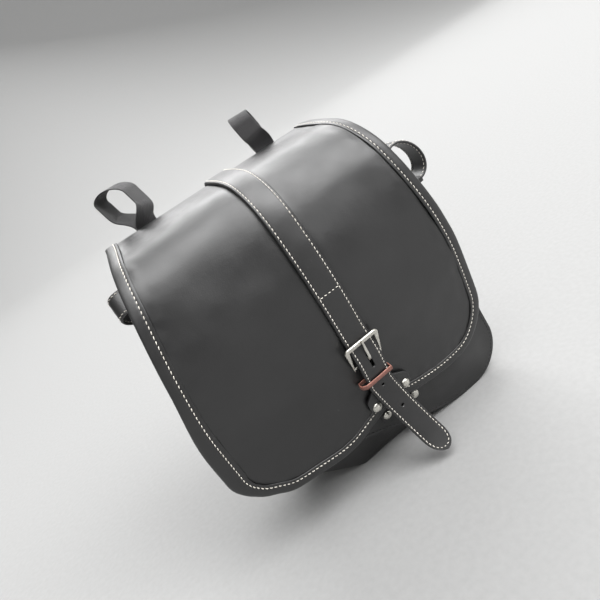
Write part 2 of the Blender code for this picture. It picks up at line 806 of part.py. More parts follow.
def make_chape(frame):
    """The leather tab that holds the heel bar: rolled over it, with a notch for the prong."""
    start, end = HEEL_BAR_AT, RIVET_AT + 0.0085
    low = PANEL + 2 * GAP + BINDING + GAP

    def place(u, v):
        across = 2 * u - 1
        round_off = 0.007 * max(0.0, (abs(across) - 0.72) / 0.28) ** 2
        along = between(start, end - round_off, v)
        x = STRAP_X + chape_drift(along) + across * chape_half_width(along)
        return flap_point(x, along, low)

    part = add_part("chape", sheet_mesh("chape", 8, 16, place), "black_leather", frame)
    thicken(part, CHAPE_THICKNESS, outward=False)
    on_bar = HEEL @ Matrix.Rotation(pi / 2, 4, "Y")
    join(part, "chape_roll", cylinder_mesh("chape_roll", CHAPE_ROLL_RADIUS, 0.0258, on_bar))
    cut(part, "heel_bar_bore", cylinder_mesh("heel_bar_bore", HEEL_BAR_RADIUS + GAP, 0.05, on_bar))
    notch = rounded_rectangle(0.0050, 0.0150, 0.002, centre=(0.0, 0.0008))
    cut(part, "prong_notch", outline_curve("prong_notch", notch, 0.030, HEEL))
    return part


def make_keeper(frame):
    """A narrow loop round the strap's tail and the chape, free to slide on them."""
    place = over_flap(STRAP_X, KEEPER_AT, 0.0)
    low = PANEL + GAP
    high = strap_height(KEEPER_AT) + STRAP_THICKNESS + 0.0005 + 0.0012
    half = STRAP_WIDTH / 2 + 0.0022
    stand = place @ Matrix.Rotation(pi / 2, 4, "X")
    middle = (0.0, (low + high) / 2)
    outer = rounded_rectangle(2 * half, high - low, 0.0022, centre=middle)
    inner = rounded_rectangle(2 * half - 0.0024, high - low - 0.0022, 0.0012, centre=middle)
    part = add_part("keeper", outline_curve("keeper", outer, 0.0062, stand), "brown_leather", frame)
    cut(part, "keeper_window", outline_curve("keeper_window", inner, 0.02, stand))


# ---------------------------------------------------------------- rivets and the hidden snap

def turned_part(name, profile, seat, finish, frame):
    """A solid turned about the Z axis of a seat, from a profile of (radius, height), top to bottom."""
    mesh = bpy.data.meshes.new(name)
    points = [(radius, 0.0, height) for radius, height in profile]
    mesh.from_pydata(points, [(step, step + 1) for step in range(len(points) - 1)], [])
    mesh.materials.append(FINISH[finish])
    part = bpy.data.objects.new(name, mesh)
    BAG.objects.link(part)
    part.parent = frame
    part.matrix_local = Matrix.Translation(-PLACES[frame.name]) @ seat
    turn = part.modifiers.new("turned", "SCREW")
    turn.steps = 20
    turn.render_steps = 20
    turn.use_merge_vertices = True
    turn.merge_threshold = 0.00001
    turn.use_smooth_shade = True
    return part


def make_rivet(name, seat, shank, frame):
    """A domed head on a seat, with a shank below it."""
    radius = RIVET_RADIUS
    crown = [(0.0, radius * 0.50), (radius * 0.36, radius * 0.47)]
    head = [(radius * 0.72, radius * 0.36), (radius * 0.96, radius * 0.16), (radius, 0.0)]
    foot = [(RIVET_SHANK_RADIUS, 0.0), (RIVET_SHANK_RADIUS, -shank), (0.0, -shank)]
    return turned_part(name, crown + head + foot, seat, "nickel", frame)


def make_burr(name, seat, frame):
    """The flat ring that a rivet's shank is closed over."""
    burr = add_part(name, cylinder_mesh(name, BURR_RADIUS, BURR_THICKNESS, seat), "nickel", frame)
    cut(burr, name + "_hole", cylinder_mesh(name + "_hole", BURR_HOLE_RADIUS, 0.004, seat))


def punch(layer, name, middle):
    """A rivet's hole through one layer."""
    cut(layer, name, cylinder_mesh(name, RIVET_HOLE_RADIUS, 0.03, middle, segments=12))


def make_flap_rivets(frame, layers):
    chape_top = PANEL + 3 * GAP + BINDING + CHAPE_THICKNESS
    below = -(LINING + 3 * GAP + BINDING)
    for side, name in ((-1, "left"), (1, "right")):
        x = STRAP_X + CHAPE_DRIFT + side * RIVET_SPREAD
        seat = over_flap(x, RIVET_AT, chape_top + 0.0002)
        make_rivet(f"flap_rivet_{name}", seat, chape_top - below + 0.0010, frame)
        make_burr(f"flap_burr_{name}", over_flap(x, RIVET_AT, below - 0.0009), frame)
        for layer in layers:
            punch(layer, f"rivet_hole_{name}", over_flap(x, RIVET_AT, 0.0))


def facing_front(x, z, lift):
    """A frame on the front panel's outer face: X across, Y up, Z towards the front."""
    step = 0.004
    slope = (front_surface_y(x, z + step) - front_surface_y(x, z - step)) / (2 * step)
    up = Vector((0.0, slope, 1.0)).normalized()
    out = Vector((0.0, -1.0, slope)).normalized()
    turn = Matrix((Vector((1, 0, 0)), up, out)).transposed().to_4x4()
    place = Vector((x, front_surface_y(x, z), z)) + out * (PANEL + lift)
    return Matrix.Translation(place) @ turn


def snap_gap():
    """Room between the flap's lining and the lock tab at the snap, along the flap's normal there."""
    x = STRAP_X + SNAP_DRIFT
    inner = flap_point(x, SNAP_AT, -(LINING + 2 * GAP))
    tab_face = front_surface_y(x, inner.z) - PANEL - LOCK_CLEARANCE - LOCK_THICKNESS
    return tab_face - inner.y


def make_snap(frame, flap_frame):
    """A flat magnetic snap: a thin plate in the flap and a thicker one standing on the lock tab."""
    magnet = snap_gap() - SNAP_PLATE - SNAP_PARTED - SNAP_CLEARANCE
    under = LINING + 2 * GAP
    for name, owner, depth, thickness in (
        ("snap_plate", flap_frame, under + SNAP_PLATE / 2, SNAP_PLATE),
        ("snap_magnet", frame, under + SNAP_PLATE + SNAP_PARTED + magnet / 2, magnet),
    ):
        middle = over_flap(STRAP_X + SNAP_DRIFT, SNAP_AT, -depth)
        add_part(name, cylinder_mesh(name, SNAP_RADIUS, thickness, middle, segments=24), "nickel", owner)


def lock_half_width(z):
    """The lock tab is wide at its rivets and narrow at its top."""
    return between(0.0275, 0.017, smooth_step((z - LOCK_Z - 0.004) / 0.030))


def make_lock(frame, front):
    """A tab riveted to the front panel under the flap's edge, with one half of a flat magnetic snap."""
    middle_x = STRAP_X + LOCK_DRIFT

    def place(u, v):
        z = between(LOCK_Z - 0.008, LOCK_TOP, v)
        x = middle_x + (2 * u - 1) * lock_half_width(z)
        return facing_front(x, z, LOCK_CLEARANCE).to_translation()

    tab = add_part("lock_tab", sheet_mesh("lock_tab", 6, 8, place), "black_leather", frame)
    thicken(tab, LOCK_THICKNESS)
    for side, name in ((-1, "left"), (1, "right")):
        x = middle_x + side * (RIVET_SPREAD - 0.001)
        seat = facing_front(x, LOCK_Z, LOCK_CLEARANCE + LOCK_THICKNESS + LOCK_RIVET_STAND)
        make_rivet(f"lock_rivet_{name}", seat, 0.0080, frame)
        make_burr(f"lock_burr_{name}", facing_front(x, LOCK_Z, -PANEL - 0.0018), frame)
        for layer in (tab, front):
            punch(layer, f"lock_hole_{name}", facing_front(x, LOCK_Z, 0.0))


def web_section(share, half, rise):
    """The webbing's route (sideways, up) from one sewn end over the arch to the other."""
    mirrored = min(share, 1 - share) * 2
    sign = 1.0 if share > 0.5 else -1.0
    up = between(0.0004, rise - 0.013, min(1.0, mirrored / 0.62))
    reach = smooth_step(up / 0.030)
    side = between(0.0010, half, reach)
    if mirrored > 0.62:
        angle = (mirrored - 0.62) / 0.38 * pi / 2
        return sign * half * cos(angle), rise - 0.013 + 0.013 * sin(angle)
    return sign * side, up


def make_web_loop(name, x_middle, turn, half, rise, lean, frame):
    """A webbing arch: its two legs rise flat against the back panel, and twist as they part."""
    def place(u, v):
        side, up = web_section(v, half, rise)
        twist = pi / 2 if turn > 0 else -pi / 2
        angle = between(twist, turn, smooth_step(up / 0.034))
        across = (u - 0.5) * WEB_WIDTH
        x = side * cos(angle) + across * sin(angle)
        y = -side * sin(angle) + across * cos(angle)
        if turn < 0:
            x = -x
            y = -y
        y += WEB_Y + up * sin(WEB_LEAN)
        x -= lean * up * smooth_step(up / 0.03)
        return Vector((x_middle + x, y, WEB_Z + up * cos(WEB_LEAN)))

    part = add_part(name, sheet_mesh(name, 2, 36, place), "webbing", frame)
    thicken(part, WEBBING).offset = 0.0


def make_web_patch(name, x_middle, frame):
    """The webbing's two ends, laid one on the other, and the leather rectangle sewn over them."""
    ends = (x_middle, WEB_Z - WEB_ROOT_GAP - WEB_BURIED / 2)
    folded = rounded_rectangle(WEB_WIDTH, WEB_BURIED, 0.0004, centre=ends)
    root_name = name.replace("patch", "root")
    root = outline_curve(root_name, folded, 2 * WEBBING + 0.0005, upright(WEB_Y))
    add_part(root_name, root, "webbing", frame, smooth=False)
    place = upright(WEB_Y + 0.0010 + WEBBING / 2 + GAP + SIDE_PATCH / 2)
    patch = outline_curve(name, rounded_rectangle(0.040, 0.026, 0.003, centre=ends), SIDE_PATCH, place)
    add_part(name, patch, "black_leather", frame, smooth=False)


def drop_section(share, reach, bulge, sag):
    """A leather loop's route (outward, up): both ends at its anchor, wide towards its far end."""
    mirrored = min(share, 1 - share) * 2
    sign = 1.0 if share > 0.5 else -1.0
    radius = bulge / 2
    if mirrored > 0.62:
        angle = (mirrored - 0.62) / 0.38 * pi / 2
        out, up = reach - radius + radius * sin(angle), sign * radius * cos(angle)
    else:
        out = between(0.0, reach - radius, mirrored / 0.62)
        up = sign * between(0.0017, radius, smooth_step(out / (reach - radius)))
    return out, up - sag * (out / reach) ** 2


def side_root(z):
    """How far out from the bag's middle a side loop's ends are, just off their patch."""
    return body_half_width(z) + SIDE_PATCH + 6 * GAP


def make_side_loop(name, side, twist, depth, z, reach, bulge, sag, frame):
    def place(u, v):
        out, up = drop_section(v, reach, bulge, sag)
        across = (u - 0.5) * SIDE_LOOP_WIDTH * -side
        turn = twist * smooth_step(out / SIDE_TWIST_OVER)
        y, rise = across * cos(turn) - up * sin(turn), across * sin(turn) + up * cos(turn)
        return Vector((side * (side_root(z) + out), depth + y, z + rise))

    part = add_part(name, sheet_mesh(name, 2, 36, place), "black_leather", frame)
    thicken(part, SIDE_LEATHER).offset = 0.0


def make_side_patch(name, side, depth, z, frame):
    """The leather plate on the gusset that a side loop's ends are sewn to."""
    lean = atan((BOTTOM_HALF_WIDTH - MOUTH_HALF_WIDTH) / (MOUTH_BACK_Z - CORNER_RADIUS))
    face = body_half_width(z) + 1.4 * GAP
    spot = Matrix.Translation((side * (face + SIDE_PATCH / 2), depth, z))
    turn = Matrix.Rotation(-side * lean, 4, "Y") @ Matrix.Rotation(pi / 2, 4, "Y")
    plate = outline_curve(name, rounded_rectangle(0.022, 0.036, 0.003), SIDE_PATCH, spot @ turn)
    add_part(name, plate, "black_leather", frame, smooth=False)


def make_loop_keeper(side, depth, z, reach, bulge, sag, frame):
    """A leather band round the right loop near its far end, over the strap's folded-back end."""
    share = 0.34
    (out, up), (ahead, above) = (drop_section(share + step, reach, bulge, sag) for step in (0.0, 0.01))
    along_loop = Matrix.Rotation(-atan2(above - up, side * (ahead - out)), 4, "Y")
    spot = Matrix.Translation((side * (side_root(z) + out), depth, z + up))
    place = spot @ along_loop @ Matrix.Rotation(pi / 2, 4, "Y")
    thick, wide, wall = SIDE_LEATHER + 0.0018, SIDE_LOOP_WIDTH + 0.0008, 0.0012
    outer = rounded_rectangle(thick + 2 * wall, wide + 2 * wall, 0.0012)
    inner = rounded_rectangle(thick, wide, 0.0004)
    part = add_part("loop_keeper", outline_curve("loop_keeper", outer, 0.008, place), "black_leather", frame)
    cut(part, "loop_keeper_window", outline_curve("loop_keeper_window", inner, 0.02, place))


def build():
    bag = add_frame("saddlebag_frame")
    make_back(bag)
    make_top_binding(bag)
    make_gusset(bag)
    front = make_front(bag)
    make_welt("front_welt", -BODY_DEPTH + GAP + SEAM_STRIP / 2, bag)
    make_welt("back_welt", -BACK_THICKNESS - GAP - SEAM_STRIP / 2, bag)
    make_base_board(bag)
    make_mouth_band(bag)

    flap = add_frame("flap_hinge", (0, HINGE_Y, HINGE_Z), bag)
    skin, under = make_flap_layers(flap)
    binding = make_flap_binding(flap)
    make_strap(flap)
    chape = make_chape(flap)
    buckle = add_frame("buckle_axis", HEEL.to_translation(), flap)
    make_buckle(buckle)
    make_prong(buckle)
    make_keeper(add_frame("keeper_slide", flap_point(STRAP_X, KEEPER_AT, 0.0), flap))
    make_flap_rivets(flap, (skin, under, binding, chape))
    make_lock(bag, front)
    make_snap(bag, flap)
    for name, x, turn, half, rise, lean in WEB_LOOPS:
        make_web_loop(name, x, turn, half, rise, lean, add_frame(name + "_hinge", (x, WEB_Y, WEB_Z), bag))
        make_web_patch(name.replace("loop", "patch"), x, bag)
    for name, side, twist, depth, z, reach, bulge, sag in SIDE_LOOPS:
        hinge = add_frame(name + "_hinge", (side * (side_root(z) + 0.001), depth, z), bag)
        make_side_loop(name, side, twist, depth, z, reach, bulge, sag, hinge)
        make_side_patch(name.replace("loop", "patch"), side, depth, z, bag)
        if side > 0:
            make_loop_keeper(side, depth, z, reach, bulge, sag, hinge)


build()
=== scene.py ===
"""The saddlebag's finished look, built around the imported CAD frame.

Lengths are in metres. Shapes are laid out in bag coordinates (X = 0 at the bag's middle, Y = 0 at the
rear face of its back panel, Z = 0 under its bottom) and moved into the row frame by SHIFT.
"""

from math import atan, atan2, cos, pi, radians, sin

import bmesh
import bpy
import numpy as np
from mathutils import Matrix, Vector


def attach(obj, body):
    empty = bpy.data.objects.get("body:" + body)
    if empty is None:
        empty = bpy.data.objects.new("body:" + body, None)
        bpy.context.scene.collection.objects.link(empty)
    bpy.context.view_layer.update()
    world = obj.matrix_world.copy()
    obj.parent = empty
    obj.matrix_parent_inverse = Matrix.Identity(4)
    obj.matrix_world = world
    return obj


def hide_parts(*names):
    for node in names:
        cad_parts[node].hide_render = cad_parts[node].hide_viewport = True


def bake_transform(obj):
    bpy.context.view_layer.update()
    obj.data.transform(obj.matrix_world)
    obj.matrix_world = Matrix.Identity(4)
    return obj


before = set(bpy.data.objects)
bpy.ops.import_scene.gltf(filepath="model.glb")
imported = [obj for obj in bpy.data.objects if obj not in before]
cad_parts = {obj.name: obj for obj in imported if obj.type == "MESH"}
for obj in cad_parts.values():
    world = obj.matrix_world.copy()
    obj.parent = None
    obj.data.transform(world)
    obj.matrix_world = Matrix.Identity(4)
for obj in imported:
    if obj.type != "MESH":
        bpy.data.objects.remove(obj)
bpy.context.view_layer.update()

SHIFT = np.array((-0.0155, 0.0608, 0.0))

# The body
BAG_TOP = 0.372
BODY_DEPTH = 0.108
BOTTOM_HALF_WIDTH = 0.152
MOUTH_HALF_WIDTH = 0.130
CORNER_RADIUS = 0.052
MOUTH_BACK_Z = 0.354
MOUTH_FRONT_Z = 0.304
FRONT_BULGE = 0.0086
RISE = 0.060
RISE_FROM = -0.090
RISE_OVER = 0.210
RISE_STARTS = 0.084
RISE_FADES = 0.250
CORNER_LIFT = 0.064
CORNER_LIFT_FROM = -0.130
CORNER_LIFT_OVER = 0.090
SPREAD = 0.030
SPREAD_FADES = (0.112, 0.148)
GAP = 0.0003
PANEL = 0.0024
LINING = 0.0014
BACK_THICKNESS = 0.0030
SEAM_STRIP = 0.0012
RIM = 0.006

# The flap, as distances along its length from the hinge line; below zero it folds down behind the bag
HINGE_Y = -0.0075
HINGE_Z = BAG_TOP
REAR_FOLD = -0.0308
FLAP_LENGTH = 0.378
FLAP_TOP_HALF_WIDTH = 0.1365
FLAP_HALF_WIDTH = 0.1725
FLAP_WIDEST_AT = 0.270
FLAP_CORNER = 0.053
FLAP_CROWN = 0.0085
LEFT_LOBE_DROP = 0.0185
RIGHT_LOBE_DROP = 0.0140
NOTCH_RISE = 0.0015
NOTCH_REACH = 0.42
NOTCH_ROUNDING = 0.06
LEFT_SWELL = 0.0065
LEFT_TUCK = 0.0095
BINDING_WIDTH = 0.0145
BINDING_STITCH = 0.0108
EDGE_ROOM = 0.0026
FLAP_SLOPE = (
    (-0.05, -90.0), (-0.0122, -90.0), (0.0, 2.0), (0.066, 16.0), (0.136, 73.0),
    (0.208, 85.0), (0.280, 95.0), (0.352, 96.5), (0.45, 100.8), (0.50, 100.8),
)

# The strap, its buckle and keeper
STRAP_X = 0.0095
STRAP_WIDTH = 0.030
STRAP_THICKNESS = 0.0036
STRAP_CROSS_SEAM = 0.2135
STRAP_STITCH_INSET = 0.0030
TAIL_END = 0.431
TAIL_DRIFT = 0.021
DRIFT_FROM = 0.331
TAIL_FLARE = 4.8
FLARE_FROM = 0.340
TOE_BAR_AT = 0.2700
HEEL_BAR_AT = 0.2980
KEEPER_AT = 0.3200
HOLE_PITCH = 0.039
HEEL_BAR_RADIUS = 0.0015
HEEL_BAR_HEIGHT = 0.0062
CHAPE_ROLL_RADIUS = 0.0033
BUCKLE_WIDTH = 0.0435
BUCKLE_BAR = 0.0055
BUCKLE_THICKNESS = 0.0026
BUCKLE_ARM_TAIL = 0.0028
CHAPE_DRIFT = 0.006
RIVET_AT = 0.3605
RIVET_SPREAD = 0.021
RIVET_RADIUS = 0.0059
LOCK_Z = 0.0605
LOCK_DRIFT = 0.016

# Webbing loops and leather side loops
WEB_WIDTH = 0.025
WEB_LEAN = radians(24)
WEB_Y = 0.0034
WEB_Z = BAG_TOP - 0.004
WEBBING = 0.0015
# name, position, turn of the arch, half the distance between its legs, height, sideways lean
WEB_LOOPS = (
    ("web_loop_left", -0.083, radians(40), 0.0215, 0.0630, 0.17),
    ("web_loop_right", 0.0835, radians(-66), 0.0145, 0.0570, 0.06),
)
# name, side, twist, depth, height, how far it reaches out, how tall it is, how far its end sags
SIDE_LOOPS = (
    ("side_loop_left", -1, radians(50), -0.038, 0.3165, 0.028, 0.034, -0.006),
    ("side_loop_right", 1, 0.0, -0.080, 0.289, 0.0700, 0.050, 0.011),
)
SIDE_LOOP_WIDTH = 0.028
SIDE_TWIST_OVER = 0.014
SIDE_LEATHER = 0.0026
SIDE_PATCH = 0.0018

STITCH_PITCH = 0.0050
STITCH_LENGTH = 0.0036
THREAD_RADIUS = 0.00046


# ---------------------------------------------------------------- numbers

def smooth(share):
    share = np.clip(share, 0.0, 1.0)
    return share * share * (3 - 2 * share)


def between(low, high, share):
    return low + (high - low) * share


def unit(vectors):
    return vectors / np.maximum(np.linalg.norm(vectors, axis=-1, keepdims=True), 1e-12)


def waves(a, b, seed, lengths, amplitude):
    """Smooth uneven relief over two coordinates: a few crossing waves of the given lengths."""
    rng = np.random.default_rng(seed)
    total = np.zeros(np.broadcast(a, b).shape)
    for length in lengths:
        for _ in range(4):
            heading, phase = rng.uniform(0, 2 * pi, 2)
            total = total + np.sin(2 * pi * (a * cos(heading) + b * sin(heading)) / length + phase)
    return amplitude * total / (2.0 * np.sqrt(len(lengths)))


# ---------------------------------------------------------------- the flap's surface

SLOPE_STEP = 0.0005
ALONGS = np.arange(-0.04, 0.47, SLOPE_STEP)
SLOPES = np.radians(np.interp(ALONGS, *np.array(FLAP_SLOPE).T))


def walk_profile():
    """The side view of the flap, stepped along its slope, through the hinge line at zero."""
    middle = np.radians(np.interp(ALONGS[:-1] + SLOPE_STEP / 2, *np.array(FLAP_SLOPE).T))
    y = np.concatenate([[0.0], np.cumsum(-np.cos(middle) * SLOPE_STEP)])
    z = np.concatenate([[0.0], np.cumsum(-np.sin(middle) * SLOPE_STEP)])
    return y - np.interp(0.0, ALONGS, y) + HINGE_Y, z - np.interp(0.0, ALONGS, z) + HINGE_Z


PROFILE_Y, PROFILE_Z = walk_profile()


def flap_half_width(along):
    wide = between(FLAP_TOP_HALF_WIDTH, FLAP_HALF_WIDTH, smooth(along / FLAP_WIDEST_AT))
    return wide - 0.008 * smooth(-(along + 0.001) / 0.012)


def left_swell(along):
    """How far the flap's left edge swells out above its lower corner."""
    return LEFT_SWELL * smooth((along - 0.200) / 0.090) * (1 - smooth((along - 0.318) / 0.040))


def edge_half_width(along, side):
    return flap_half_width(along) + np.where(np.asarray(side) < 0, left_swell(along), 0.0)


def left_tuck(across):
    """How much the left lobe's lower edge is shortened."""
    return LEFT_TUCK * smooth((-across - 0.20) / 0.40) * (1 - smooth((-across - 0.82) / 0.18))


def crown_height(along):
    return FLAP_CROWN * smooth(along / 0.12) * (1 - 0.7 * smooth((along - 0.28) / 0.10))


def flap_point(x, along, height):
    """Points over the flap's middle surface, at a height along its outward normal."""
    x, along, height = np.broadcast_arrays(x, along, height)
    slope = np.interp(along, ALONGS, SLOPES)
    across = np.minimum(1.0, np.abs(x) / flap_half_width(along))
    lift = crown_height(along) * (1 - across**2) + height
    y = np.interp(along, ALONGS, PROFILE_Y) - np.sin(slope) * lift
    z = np.interp(along, ALONGS, PROFILE_Z) + np.cos(slope) * lift
    return np.stack([x, y, z], axis=-1)


def flap_normal(x, along):
    """Unit normals of the crowned surface, by differences."""
    step = 0.001
    du = flap_point(x + step, along, 0.0) - flap_point(x - step, along, 0.0)
    dv = flap_point(x, along + step, 0.0) - flap_point(x, along - step, 0.0)
    return unit(np.cross(dv, du))


def flap_end(across):
    """How far the flap reaches at a share of its half width: two rounded lobes and a notch at the strap."""
    drop = np.where(across > 0, RIGHT_LOBE_DROP, LEFT_LOBE_DROP)
    from_strap = np.hypot(across - STRAP_X / FLAP_HALF_WIDTH, NOTCH_ROUNDING) - NOTCH_ROUNDING
    lobe = drop * np.sin(pi * np.minimum(1.0, from_strap / 0.95))
    notch = NOTCH_RISE * (1 - smooth(from_strap / NOTCH_REACH))
    corner_share = FLAP_CORNER / FLAP_HALF_WIDTH
    past = np.maximum(0.0, (np.abs(across) - (1 - corner_share)) / corner_share)
    corner = FLAP_CORNER * (1 - np.sqrt(np.maximum(0.0, 1 - past**2)))
    return FLAP_LENGTH + lobe - notch - corner - left_tuck(across)


def flap_relief(x, along):
    """The leather's own unevenness: broad waves all over, small puckers beside the binding."""
    broad = waves(x, along, 3, (0.16, 0.10), 0.0007) + waves(x, along, 8, (0.055, 0.035), 0.00018)
    edge = np.minimum(edge_half_width(along, x) - np.abs(x), flap_end(x / flap_half_width(along)) - along)
    pucker = np.exp(-(((edge - 0.019) / 0.009) ** 2)) * waves(x, along, 5, (0.017, 0.024), 0.00022)
    seam = smooth(along / 0.03)
    return (broad + pucker) * seam


def outline_of(start):
    """The flap's edge as (x, along) points a millimetre apart, from its left seam end to its right one."""
    corner_left, corner_right = float(flap_end(-1.0)), float(flap_end(1.0))
    left = np.arange(start, corner_left, 0.001)
    turn = np.sin(np.linspace(-0.5, 0.5, 420) * pi)
    end = flap_end(turn)
    right = np.arange(corner_right, start, -0.001)
    x = np.concatenate([-edge_half_width(left, -1), turn * edge_half_width(end, turn),
        flap_half_width(right)])
    return resample(np.stack([x, np.concatenate([left, end, right])], axis=-1), 0.0012)


def resample(points, spacing):
    """Evenly spaced points on a polyline."""
    steps = np.linalg.norm(np.diff(points, axis=0), axis=1)
    keep = np.concatenate([[True], steps > 1e-7])
    points = points[keep]
    reach = np.concatenate([[0.0], np.cumsum(np.linalg.norm(np.diff(points, axis=0), axis=1))])
    count = max(2, int(round(reach[-1] / spacing)) + 1)
    wanted = np.linspace(0, reach[-1], count)
    return np.stack([np.interp(wanted, reach, points[:, k]) for k in range(points.shape[1])], axis=-1)


def inward_of(path):
    """Unit vectors at right angles to a flat path, towards its inner side (the path runs anticlockwise)."""
    run = np.gradient(path, axis=0)
    return unit(np.stack([run[:, 1], -run[:, 0]], axis=-1))


# ---------------------------------------------------------------- the body's surfaces

def body_half_width(z):
    share = (z - CORNER_RADIUS) / (MOUTH_BACK_Z - CORNER_RADIUS)
    return between(BOTTOM_HALF_WIDTH, MOUTH_HALF_WIDTH, np.clip(share, 0.0, 1.0))


def body_path(top, out=0.0, spacing=0.002):
    """The bag's U outline as (x, z) points, from the left mouth down and round to the right mouth."""
    z = np.linspace(top, CORNER_RADIUS, 160)
    left = np.stack([-(body_half_width(z) + out), z], axis=-1)
    angle = np.linspace(0, pi / 2, 60)[1:]
    reach = CORNER_RADIUS + out
    middle = BOTTOM_HALF_WIDTH - CORNER_RADIUS
    corner = np.stack([-(middle + reach * np.cos(angle)), CORNER_RADIUS - reach * np.sin(angle)], axis=-1)
    half = np.concatenate([left, corner])
    whole = np.concatenate([half, half[::-1] * (-1, 1)])
    return resample(whole, spacing)


def bottom_rise(x):
    """How far the front's lower edge stands above the base: the bottom is cut away towards the left."""
    return RISE * (1 - smooth((x - RISE_FROM) / RISE_OVER))


def corner_lift(x):
    """The body's lower left corner stands higher than its right one, at every depth."""
    return CORNER_LIFT * (1 - np.clip((x - CORNER_LIFT_FROM) / CORNER_LIFT_OVER, 0.0, 1.0)) ** 1.2


def spread(x, z):
    """How far the front bellies out to the right in its lower part."""
    start, over = SPREAD_FADES
    return SPREAD * smooth((x + 0.030) / 0.150) * (1 - smooth((z - start) / over))


def without_spread(x, z):
    narrow = x
    for _ in range(8):
        narrow = x - spread(narrow, z)
    return narrow


def lifted(x, z, y):
    """Moves points (x, z) of the U outline with the front's rise and spread, which fade towards the back."""
    depth = smooth((-y - RISE_STARTS) / (BODY_DEPTH - RISE_STARTS))
    x = x + spread(x, z) * smooth((-y - 0.010) / (BODY_DEPTH - 0.012))
    fade = 1 - np.clip((z - CORNER_RADIUS) / RISE_FADES, 0.0, 1.0)
    higher = z + between(corner_lift(x), bottom_rise(x), depth) * fade
    return x * body_half_width(higher) / body_half_width(z), higher


def mouth_height(y):
    return between(MOUTH_BACK_Z, MOUTH_FRONT_Z, np.clip(-y / BODY_DEPTH, 0.0, 1.0))


def front_bottom(across):
    corner_share = CORNER_RADIUS / BOTTOM_HALF_WIDTH
    past = np.maximum(0.0, (np.abs(across) - (1 - corner_share)) / corner_share)
    corner = CORNER_RADIUS * (1 - np.sqrt(np.maximum(0.0, 1 - past**2)))
    x = across * BOTTOM_HALF_WIDTH
    return corner + bottom_rise(x + spread(x, corner))


def front_surface_y(x, z):
    across = np.clip(without_spread(x, z) / body_half_width(z), -1.0, 1.0)
    from_side = body_half_width(z) * (1 - np.abs(across))
    from_bottom = z - front_bottom(across)
    pillow = smooth((from_side - RIM) / 0.060) * smooth((from_bottom - RIM) / 0.046)
    return -BODY_DEPTH - FRONT_BULGE * pillow * (1 - 0.55 * smooth((z - 0.17) / 0.11))


# ---------------------------------------------------------------- meshes

def new_object(name, points, faces, attributes=None, angle=40):
    """A smooth-shaded mesh in the row frame, from points in bag coordinates, with normals facing out."""
    mesh = bpy.data.meshes.new(name)
    mesh.from_pydata((points + SHIFT).tolist(), [], [list(map(int, face)) for face in faces])
    for key, values in (attributes or {}).items():
        layer = mesh.attributes.new(key, "FLOAT", "POINT")
        layer.data.foreach_set("value", np.asarray(values, np.float32).ravel())
    return finish_mesh(name, mesh, angle)


def finish_mesh(name, mesh, angle=40):
    work = bmesh.new()
    work.from_mesh(mesh)
    bmesh.ops.recalc_face_normals(work, faces=work.faces)
    work.to_mesh(mesh)
    work.free()
    mesh.shade_smooth()
    mesh.set_sharp_from_angle(angle=radians(angle))
    piece = bpy.data.objects.new(name, mesh)
    bpy.context.scene.collection.objects.link(piece)
    return piece


def quads(rows, columns, offset=0, wrap=False):
    """Faces of a rows by columns grid of points; wrap joins its last column to its first."""
    last = columns if wrap else columns - 1
    i, j = np.meshgrid(np.arange(rows - 1), np.arange(last), indexing="ij")
    follow = (j + 1) % columns
    corners = (i * columns + j, i * columns + follow, (i + 1) * columns + follow, (i + 1) * columns + j)
    return np.stack([c.ravel() for c in corners], axis=-1) + offset


def closed_sheet(name, top, under, extra=None, bulge=0.40):
    """A sheet with thickness, from two matching grids of points, its rim rounded by a middle ring."""
    rows, columns = top.shape[:2]
    i = np.concatenate([np.zeros(columns), np.arange(1, rows), np.full(columns - 1, rows - 1),
        np.arange(rows - 2, 0, -1)])
    j = np.concatenate([np.arange(columns), np.full(rows - 1, columns - 1), np.arange(columns - 2, -1, -1),
        np.zeros(rows - 2)])
    i, j = i.astype(int), j.astype(int)
    inner_i, inner_j = np.clip(i, 1, rows - 2), np.clip(j, 1, columns - 2)
    outwards = unit(top[i, j] - top[inner_i, inner_j])
    thick = np.linalg.norm(top[i, j] - under[i, j], axis=-1, keepdims=True)
    rim = (top[i, j] + under[i, j]) / 2 + outwards * thick * bulge
    count, ring = rows * columns, len(i)
    points = np.concatenate([top.reshape(-1, 3), under.reshape(-1, 3), rim])
    border = i * columns + j
    follow = np.roll(np.arange(ring), -1)
    start = 2 * count
    upper = np.stack([border, border[follow], start + follow, start + np.arange(ring)], axis=-1)
    lower = np.stack([border + count, start + np.arange(ring), start + follow, border[follow] + count],
        axis=-1)
    faces = np.concatenate([quads(rows, columns), quads(rows, columns, count)[:, ::-1], upper, lower])
    raw = np.concatenate([np.zeros(2 * count), np.ones(ring)])
    attributes = {"raw": raw}
    for key, values in (extra or {}).items():
        flat = values.reshape(-1)
        attributes[key] = np.concatenate([flat, flat, flat[border]])
    return new_object(name, points, faces, attributes)


def sweep(name, rings, attributes=None, closed=False, angle=40):
    """A solid through rings of points, shape (stations, ring points, 3), capped unless it is closed."""
    stations, around = rings.shape[:2]
    faces = [tuple(face) for face in quads(stations, around, wrap=True)]
    if closed:
        last = (stations - 1) * around
        for j in range(around):
            follow = (j + 1) % around
            faces.append((last + j, last + follow, follow, j))
    else:
        faces.append(tuple(range(around)))
        faces.append(tuple(reversed(range((stations - 1) * around, stations * around))))
    return new_object(name, rings.reshape(-1, 3), faces, attributes, angle)


